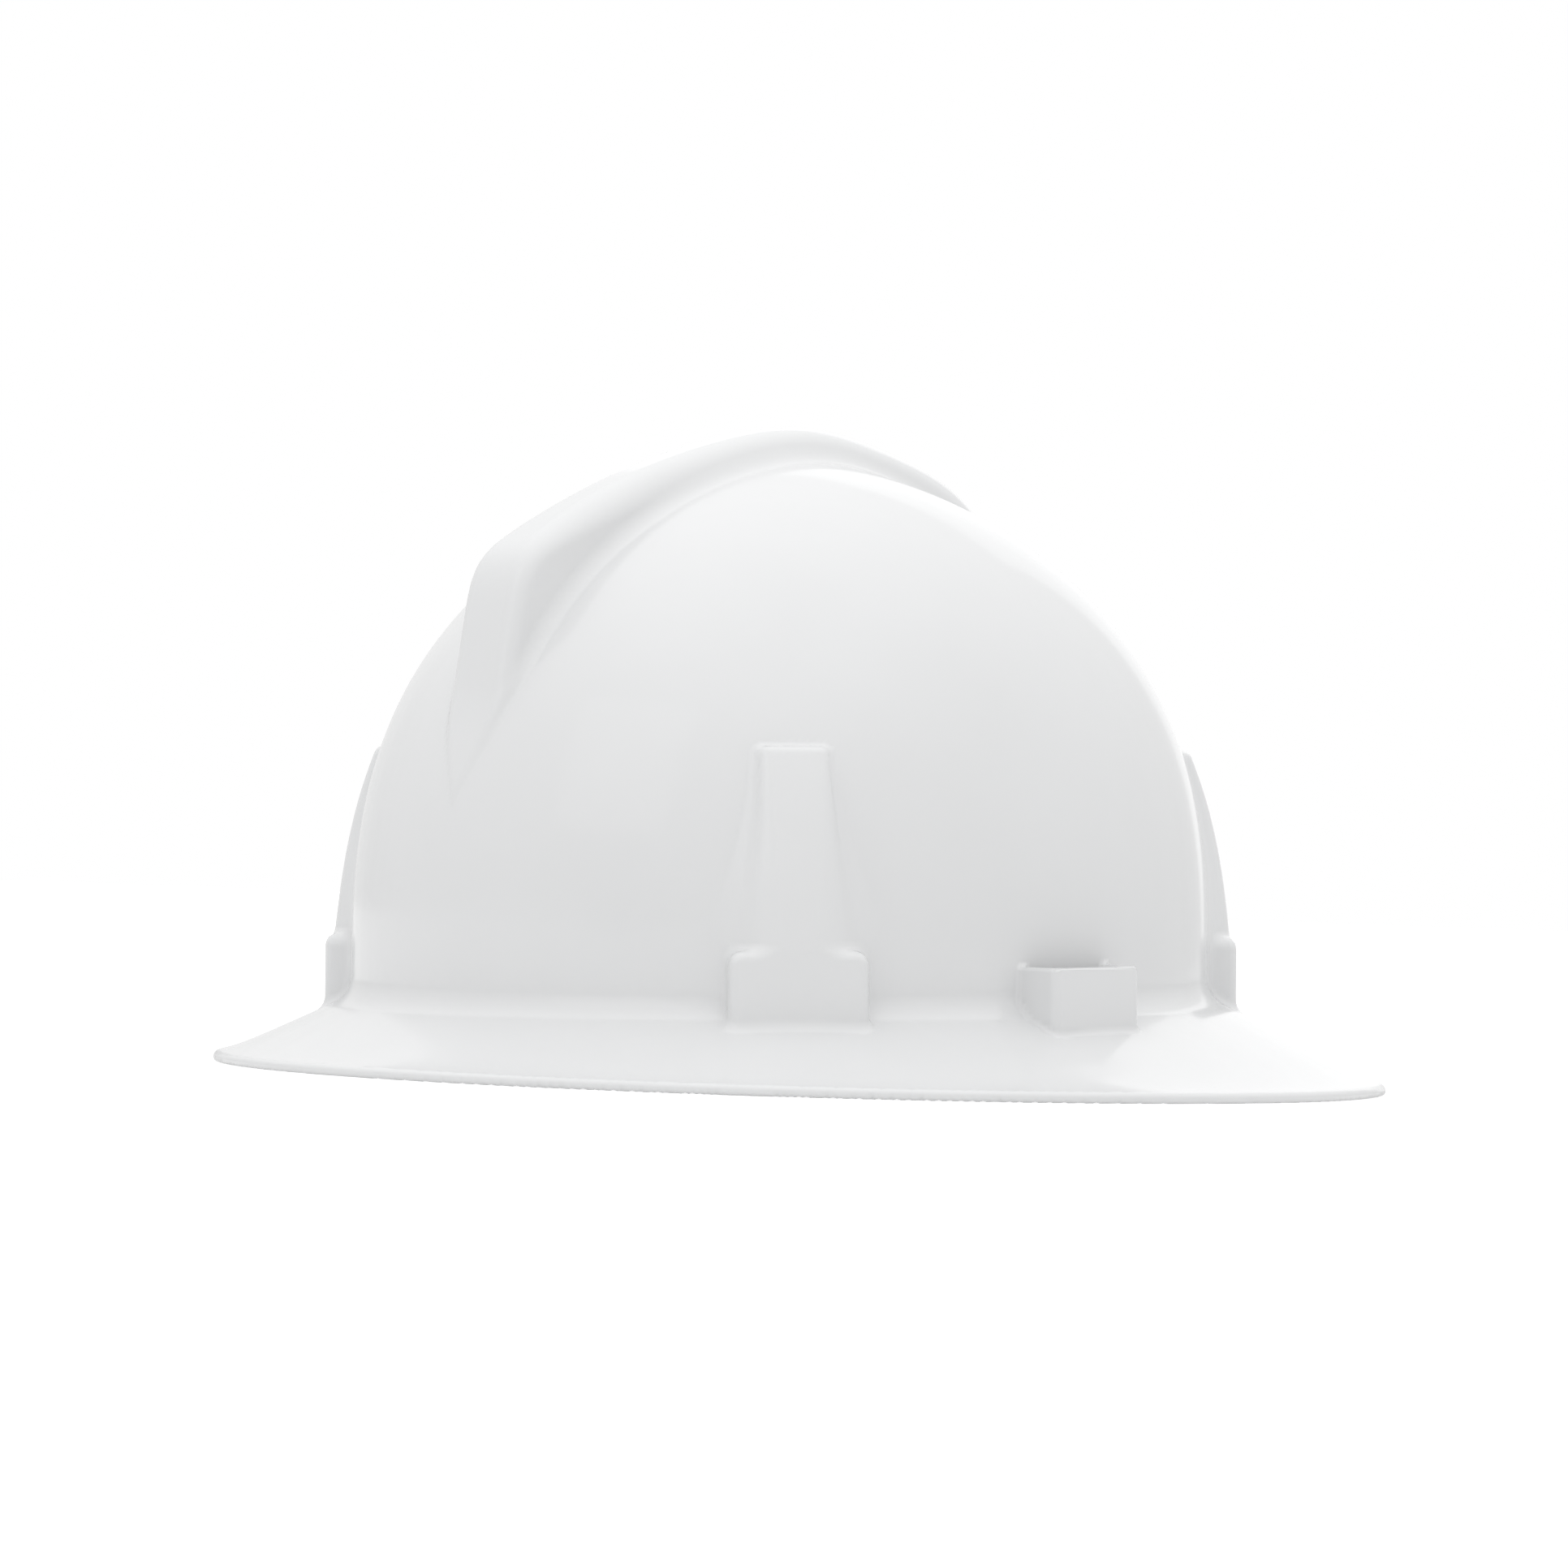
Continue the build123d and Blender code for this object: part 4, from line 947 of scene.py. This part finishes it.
# Pads: foam in knitted cloth, full in the middle, drawn in at a seam, with a thin sewn border
padForm = {
    "border": 1.15,
    "seam": 3.2,
    "swell": 8.0,
    "fullness": 0.6,
    "groove": 0.35,
    "grooveIn": 0.5,
    "grooveWidth": 0.55,
    "edge": 0.6,
    "edgeLeast": 0.04,
    "stitchesIn": 1.9,
    "off": 0.02,
    "step": 1.3,
    "rows": 27,
    "crowding": {"along": 0.25, "up": 0.4},  # how much the points draw to the ends, as shares
    "cornerLeast": 0.5,
}


def padThickness(inside, full):
    # thickness at a distance inside the outline
    form = padForm
    rise = ease((inside - form["seam"]) / (form["swell"] - form["seam"]))**form["fullness"]
    toEdge = 1 - np.clip(inside / form["edge"], 0, 1)
    edge = np.sqrt(np.clip(1 - toEdge**2, form["edgeLeast"], 1))
    fromGroove = (inside - form["seam"] + form["grooveIn"]) / form["grooveWidth"]
    groove = form["groove"] * np.exp(-fromGroove**2)
    return (between((form["border"], full), rise) - groove) * edge


def padMesh(name, u, v, inside, full, place, node):
    # two faces over one grid of (u, v), closed round its border; place(u, v, depth) gives points
    thickness = padThickness(inside, full)
    rows, columns = u.shape
    size = rows * columns
    back, front = place(u, v, 0 * thickness + padForm["off"]), place(u, v, thickness)
    index = np.arange(size).reshape(rows, columns)
    quads = np.stack([index[:-1, :-1], index[1:, :-1], index[1:, 1:], index[:-1, 1:]], -1)
    quads = quads.reshape(-1, 4)
    border = np.concatenate([index[0, :-1], index[:-1, -1], index[-1, :0:-1], index[:0:-1, 0]])
    after = np.roll(border, -1)
    sides = np.stack([border, after, after + size, border + size], 1)
    faces = np.concatenate([quads[:, ::-1], quads + size, sides]).tolist()
    points = np.concatenate([back.reshape(-1, 3), front.reshape(-1, 3)])
    made = softMesh(name, points, faces, "pad_cloth", node)
    return made


# Strip pads lie in the band's own arcs: u runs along it, v up, depth towards the head
bandForm = {
    "endRadius": 72.0,
    "joint": 54.72,
    "sideRadius": 110.07,
    "sideReach": 31.07,
    "forward": 9.0,
    "frontCentre": -31.0,
    "rearCentre": 13.0,
    "padOff": 0.32,
}
browPadForm = {
    "reach": 110.6,
    "foot": -8.0,
    "top": 22.0,
    "endTop": 15.2,
    "fallFrom": 66.0,
    "thickness": 3.5,
    "corner": 7.0,
}
napePadForm = {
    "reach": 28.6,
    "foot": -12.9,
    "top": 6.9,
    "endTop": 6.9,
    "fallFrom": 10.0,
    "thickness": 3.5,
    "corner": 6.0,
}


def browPlace(u, v, depth):
    # the front arc of the band, then its flatter sides
    form, joint = bandForm, math.radians(bandForm["joint"])
    turnedAway = np.abs(u) - form["endRadius"] * joint
    atEnd = turnedAway < 0
    angle = np.where(atEnd, np.abs(u) / form["endRadius"], joint + turnedAway / form["sideRadius"])
    radius = np.where(atEnd, form["endRadius"], form["sideRadius"]) - form["padOff"] - depth
    x = radius * np.sin(angle) - np.where(atEnd, 0, form["sideReach"])
    y = np.where(atEnd, form["frontCentre"], -form["forward"]) - radius * np.cos(angle)
    return np.stack([np.sign(u) * x, y, v], -1)


def napePlace(u, v, depth):
    radius, angle = bandForm["endRadius"] - bandForm["padOff"] - depth, u / bandForm["endRadius"]
    return np.stack([radius * np.sin(angle), bandForm["rearCentre"] + radius * np.cos(angle), v], -1)


def crowded(count, share):
    # places from -1 to 1, closer together near both ends
    turns, even = np.linspace(-math.pi / 2, math.pi / 2, count), np.linspace(-1, 1, count)
    return np.sin(turns) * share + even * (1 - share)


def stripPad(name, form, place, node):
    crowding, reach = padForm["crowding"], form["reach"]

    def edges(u, inset):
        fall = ease((np.abs(u) - form["fallFrom"]) / (reach - form["fallFrom"]))
        corner = max(form["corner"] - inset, padForm["cornerLeast"])
        past = np.clip(np.abs(u) - (reach - inset - corner), 0, corner)
        cut = inset + corner - np.sqrt(np.maximum(corner**2 - past**2, 0))
        return form["foot"] + cut, between((form["top"], form["endTop"]), fall) - cut

    u = reach * crowded(int(2 * reach / padForm["step"]), crowding["along"])
    low, high = edges(u, 0)
    share = (1 + crowded(padForm["rows"], crowding["up"])) / 2
    v = low[:, None] + (high - low)[:, None] * share
    wide = np.repeat(u[:, None], v.shape[1], 1)
    # how far each point lies inside the outline
    corner = form["corner"]
    past = np.abs(wide) - reach + corner
    cut = corner - np.sqrt(np.maximum(corner**2 - np.clip(past, 0, corner)**2, 0))
    over = np.maximum(form["foot"] - v, v - high[:, None] - cut) + corner
    inside = corner - np.hypot(np.maximum(past, 0), np.maximum(over, 0))
    inside -= np.minimum(np.maximum(past, over), 0)
    padMesh(name, wide, v, inside, form["thickness"], place, node)
    # the seam runs round inside the border
    inset = padForm["stitchesIn"]
    turns = np.linspace(inset - reach, reach - inset, int(2 * reach / stitchForm["pitch"]))
    low, high = edges(turns, inset)
    outline = list(zip(turns, low)) + list(zip(turns[::-1], high[::-1]))

    def face(u, v):
        depth = padThickness(np.full(len(u), inset), form["thickness"])
        return place(u, v, depth), place(u, v, depth + 1) - place(u, v, depth)

    stitchMesh(name + "Stitches", stitchRun(outline, face, closed=True), "pad_cloth")


stripPad("browPad", browPadForm, browPlace, "brow_pad")
stripPad("napePad", napePadForm, napePlace, "nape_pad")

# Crown pad: a round one under the crossing, on the straps' own curve
crownPadForm = {"radius": 23.8, "thickness": 2.9, "under": 0.93, "rings": 25, "turns": 72}


def makeCrownPad():
    form, strap = crownPadForm, straps["Lower"]
    radius = strap.arc(1)[0]
    crossing = strap.start + strap.along * strap.crossing
    centre = np.array([0, crossing[1], strap.crown - radius])
    out = form["radius"] * np.sin(np.linspace(0, math.pi / 2, form["rings"]))
    turns = np.linspace(0, 2 * math.pi, form["turns"], endpoint=False)
    thickness = padThickness(form["radius"] - out, form["thickness"])

    def place(out, turn, depth):
        reach, lean = radius - form["under"] - depth, np.arcsin(out / radius) + 0 * turn
        flat = reach * np.sin(lean)
        return centre + np.stack([flat * np.cos(turn), flat * np.sin(turn), reach * np.cos(lean)], -1)

    rings = [place(ring, turns, padForm["off"]) for ring in out[1:]]
    rings += [place(ring, turns, depth) for ring, depth in zip(out[:0:-1], thickness[:0:-1])]
    faces = ringFaces(len(rings), len(turns))
    made = softMesh("crownPad", np.concatenate(rings), faces, "pad_cloth", "crown_pad")
    # the seam, a ring of stitches
    seam = form["radius"] - padForm["stitchesIn"]
    count = int(2 * math.pi * seam / stitchForm["pitch"])
    half = stitchForm["length"] * math.pi / count
    depth = padThickness(np.full(stitchForm["steps"], padForm["stitchesIn"]), form["thickness"])
    threads = []
    for middle in np.linspace(0, 2 * math.pi, count, endpoint=False):
        turn = np.linspace(middle - half, middle + half, stitchForm["steps"])
        line = place(seam, turn, depth)
        threads.append((line, place(seam, turn, depth + 1) - line))
    stitchMesh("crownPadStitches", threads, "pad_cloth")


makeCrownPad()
print("pads: brow, nape, crown")

# The CAD nodes that stay as they are get their finish
slots = {part["node"]: part["material_slot"] for part in frame["record"]["subparts"]}
for name, node in frame["nodes"].items():
    node.data.materials.clear()
    node.data.materials.append(materials[slots[name]])
print("nodes with a finish:", len(frame["nodes"]))

# Floor and lights, in metres and degrees
stageForm = {
    "floor": 40.0,
    "floorDrop": 0.00002,
    "floorColour": (0.46, 0.46, 0.46),
    "floorTone": {"low": 0.3, "high": 0.7, "scale": 3},
    "floorLighter": 1.02,
    "floorLight": 0.42,
    "floorGlow": 0.26,
    "lampsAim": 0.08,
    "frontLight": {"size": (1.3, 1.3), "energy": 1.3, "turn": -35.0, "rise": 30.0, "distance": 2.2},
    "backLight": {"size": (1.55, 1.9), "energy": 2.2, "turn": 171.0, "rise": 17.0, "distance": 2.5},
}
white, black = (1, 1, 1, 1), (0, 0, 0, 1)


# The floor glows a little, as a light table does, and is clear from below
def floorMaterial():
    form = stageForm
    colour = form["floorColour"]
    glowing = {"Emission_Color": white, "Emission_Strength": form["floorLight"]}
    paint = newMaterial("floorSheet", colour, 0.9, Specular_IOR_Level=0.1, **glowing)
    lighter = tuple(c * form["floorLighter"] for c in colour)
    tone = patches(paint, **form["floorTone"])
    feed(paint, "Base Color", mixColour(paint, tone, colour, lighter))
    glow = paint.add("Emission", inputs={"Color": white, "Strength": form["floorGlow"]})
    dark = paint.add("Emission", inputs={"Color": black, "Strength": 0.0})
    cameraRay = paint.add("LightPath", output=0)
    onlySeen = paint.add("MixShader", inputs={0: cameraRay, 1: dark, 2: glow})
    plain = Value(paint.tree, paint.shader.outputs[0])
    lit = paint.add("AddShader", inputs={0: plain, 1: onlySeen})
    fromBelow, clear = paint.add("NewGeometry", output=6), paint.add("BsdfTransparent")
    surface = paint.add("MixShader", inputs={0: fromBelow, 1: lit, 2: clear})
    output = paint.tree.nodes["Material Output"]
    paint.tree.links.new(surface.link, output.inputs["Surface"])
    return paint.material


def makeFloor():
    half = stageForm["floor"]
    mesh = bpy.data.meshes.new("floor")
    corners = [(-half, -half, 0), (half, -half, 0), (half, half, 0), (-half, half, 0)]
    mesh.from_pydata(corners, [], [(0, 1, 2, 3)])
    mesh.materials.append(floorMaterial())
    floor = bpy.data.objects.new("floor", mesh)
    floor.location.z = -stageForm["floorDrop"]
    bpy.context.scene.collection.objects.link(floor)


makeFloor()


def directionOf(turn, rise):
    # turn is counted from the front to the wearer's left, rise above the floor, in radians
    flat = math.cos(rise)
    return np.array([math.sin(turn) * flat, -math.cos(turn) * flat, math.sin(rise)])


# The camera stands where the photo was taken from. Turn, rise and roll are degrees, distance, drop
# and sensor are millimetres, the picture's width is in pixels, and scale is pixels a millimetre.
cameraForm = {
    "turn": 45.19,
    "rise": 0.095,
    "roll": -0.426,
    "distance": 1300.0,
    "drop": 55.8,
    "scale": 4.741,
    "picture": 1932,
    "sensor": 36,
    "sees": (0.05, 60),  # from and to, in metres
}


def makeCamera():
    form = cameraForm
    turn, rise, roll = (math.radians(form[name]) for name in ("turn", "rise", "roll"))
    away = directionOf(turn, rise)
    right = directionOf(turn + math.pi / 2, 0)
    upward = directionOf(turn, rise + math.pi / 2)
    cameraRight = math.cos(roll) * right - math.sin(roll) * upward
    cameraUp = math.sin(roll) * right + math.cos(roll) * upward
    eye, origin = seat(form["distance"] * away + form["drop"] * cameraUp), seat([0, 0, 0])
    axes = [seat(axis * perMetre) - origin for axis in (cameraRight, cameraUp, away)]
    camera = bpy.data.objects.new("camera", bpy.data.cameras.new("camera"))
    camera.data.sensor_width = form["sensor"]
    camera.data.lens = form["sensor"] * form["scale"] * form["distance"] / form["picture"]
    camera.data.clip_start, camera.data.clip_end = form["sees"]
    camera.rotation_mode = "QUATERNION"
    camera.matrix_world = Matrix([*np.stack([*axes, eye], 1).tolist(), [0, 0, 0, 1]])
    bpy.context.scene.collection.objects.link(camera)
    bpy.context.scene.camera = camera


makeCamera()


# Lamps stand round the hat: turn is counted to the right of the camera, rise above the floor
def newLight(name):
    form = stageForm[name]
    turn = math.radians(cameraForm["turn"] + form["turn"])
    away = Vector(directionOf(turn, math.radians(form["rise"])))
    lamp = bpy.data.lights.new(name, "AREA")
    lamp.shape, lamp.energy = "RECTANGLE", form["energy"]
    lamp.size, lamp.size_y = form["size"]
    made = bpy.data.objects.new(name, lamp)
    bpy.context.scene.collection.objects.link(made)
    made.location = Vector((0, 0, stageForm["lampsAim"])) + away * form["distance"]
    made.rotation_mode = "QUATERNION"
    made.rotation_quaternion = (-away).to_track_quat("-Z", "Y")


newLight("frontLight")
newLight("backLight")

# The sky is white to the eye. As light it is fuller overhead, and it shines more in reflections,
# most of all behind the hat, between two cosines.
skyForm = {"level": 0.465, "above": 1.02, "gloss": 0.10, "behind": 0.15, "behindFrom": (0.8, 1.0)}


def makeSky():
    form, world = skyForm, bpy.data.worlds.new("studio")
    bpy.context.scene.world = world
    world.use_nodes = True
    sky = Value(world.node_tree)
    direction = sky.add("TexCoord")
    awayFromCamera = tuple(-directionOf(math.radians(cameraForm["turn"]), 0))

    def towards(axis):
        return sky.add("VectorMath", {"operation": "DOT_PRODUCT"}, {0: direction, 1: axis}, output=1)

    def ray(output):
        return sky.add("LightPath", output=output)

    over, behind = towards((0, 0, 1)), band(sky, towards(awayFromCamera), *form["behindFrom"])
    cameraRay, glossyRay, transmissionRay = ray(0), ray(3), ray(6)
    seen = sky.sums("MAXIMUM", cameraRay, transmissionRay)
    mirrored = glossyRay * (form["gloss"] + form["behind"] * behind)
    level = form["level"] + form["above"] * (over * 0.5 + 0.5)**3 + mirrored
    background = world.node_tree.nodes["Background"]
    background.inputs["Color"].default_value = white
    world.node_tree.links.new((level + seen * (1 - level)).link, background.inputs["Strength"])


makeSky()
bpy.context.scene.view_settings.view_transform = "Standard"
print("stage ready")
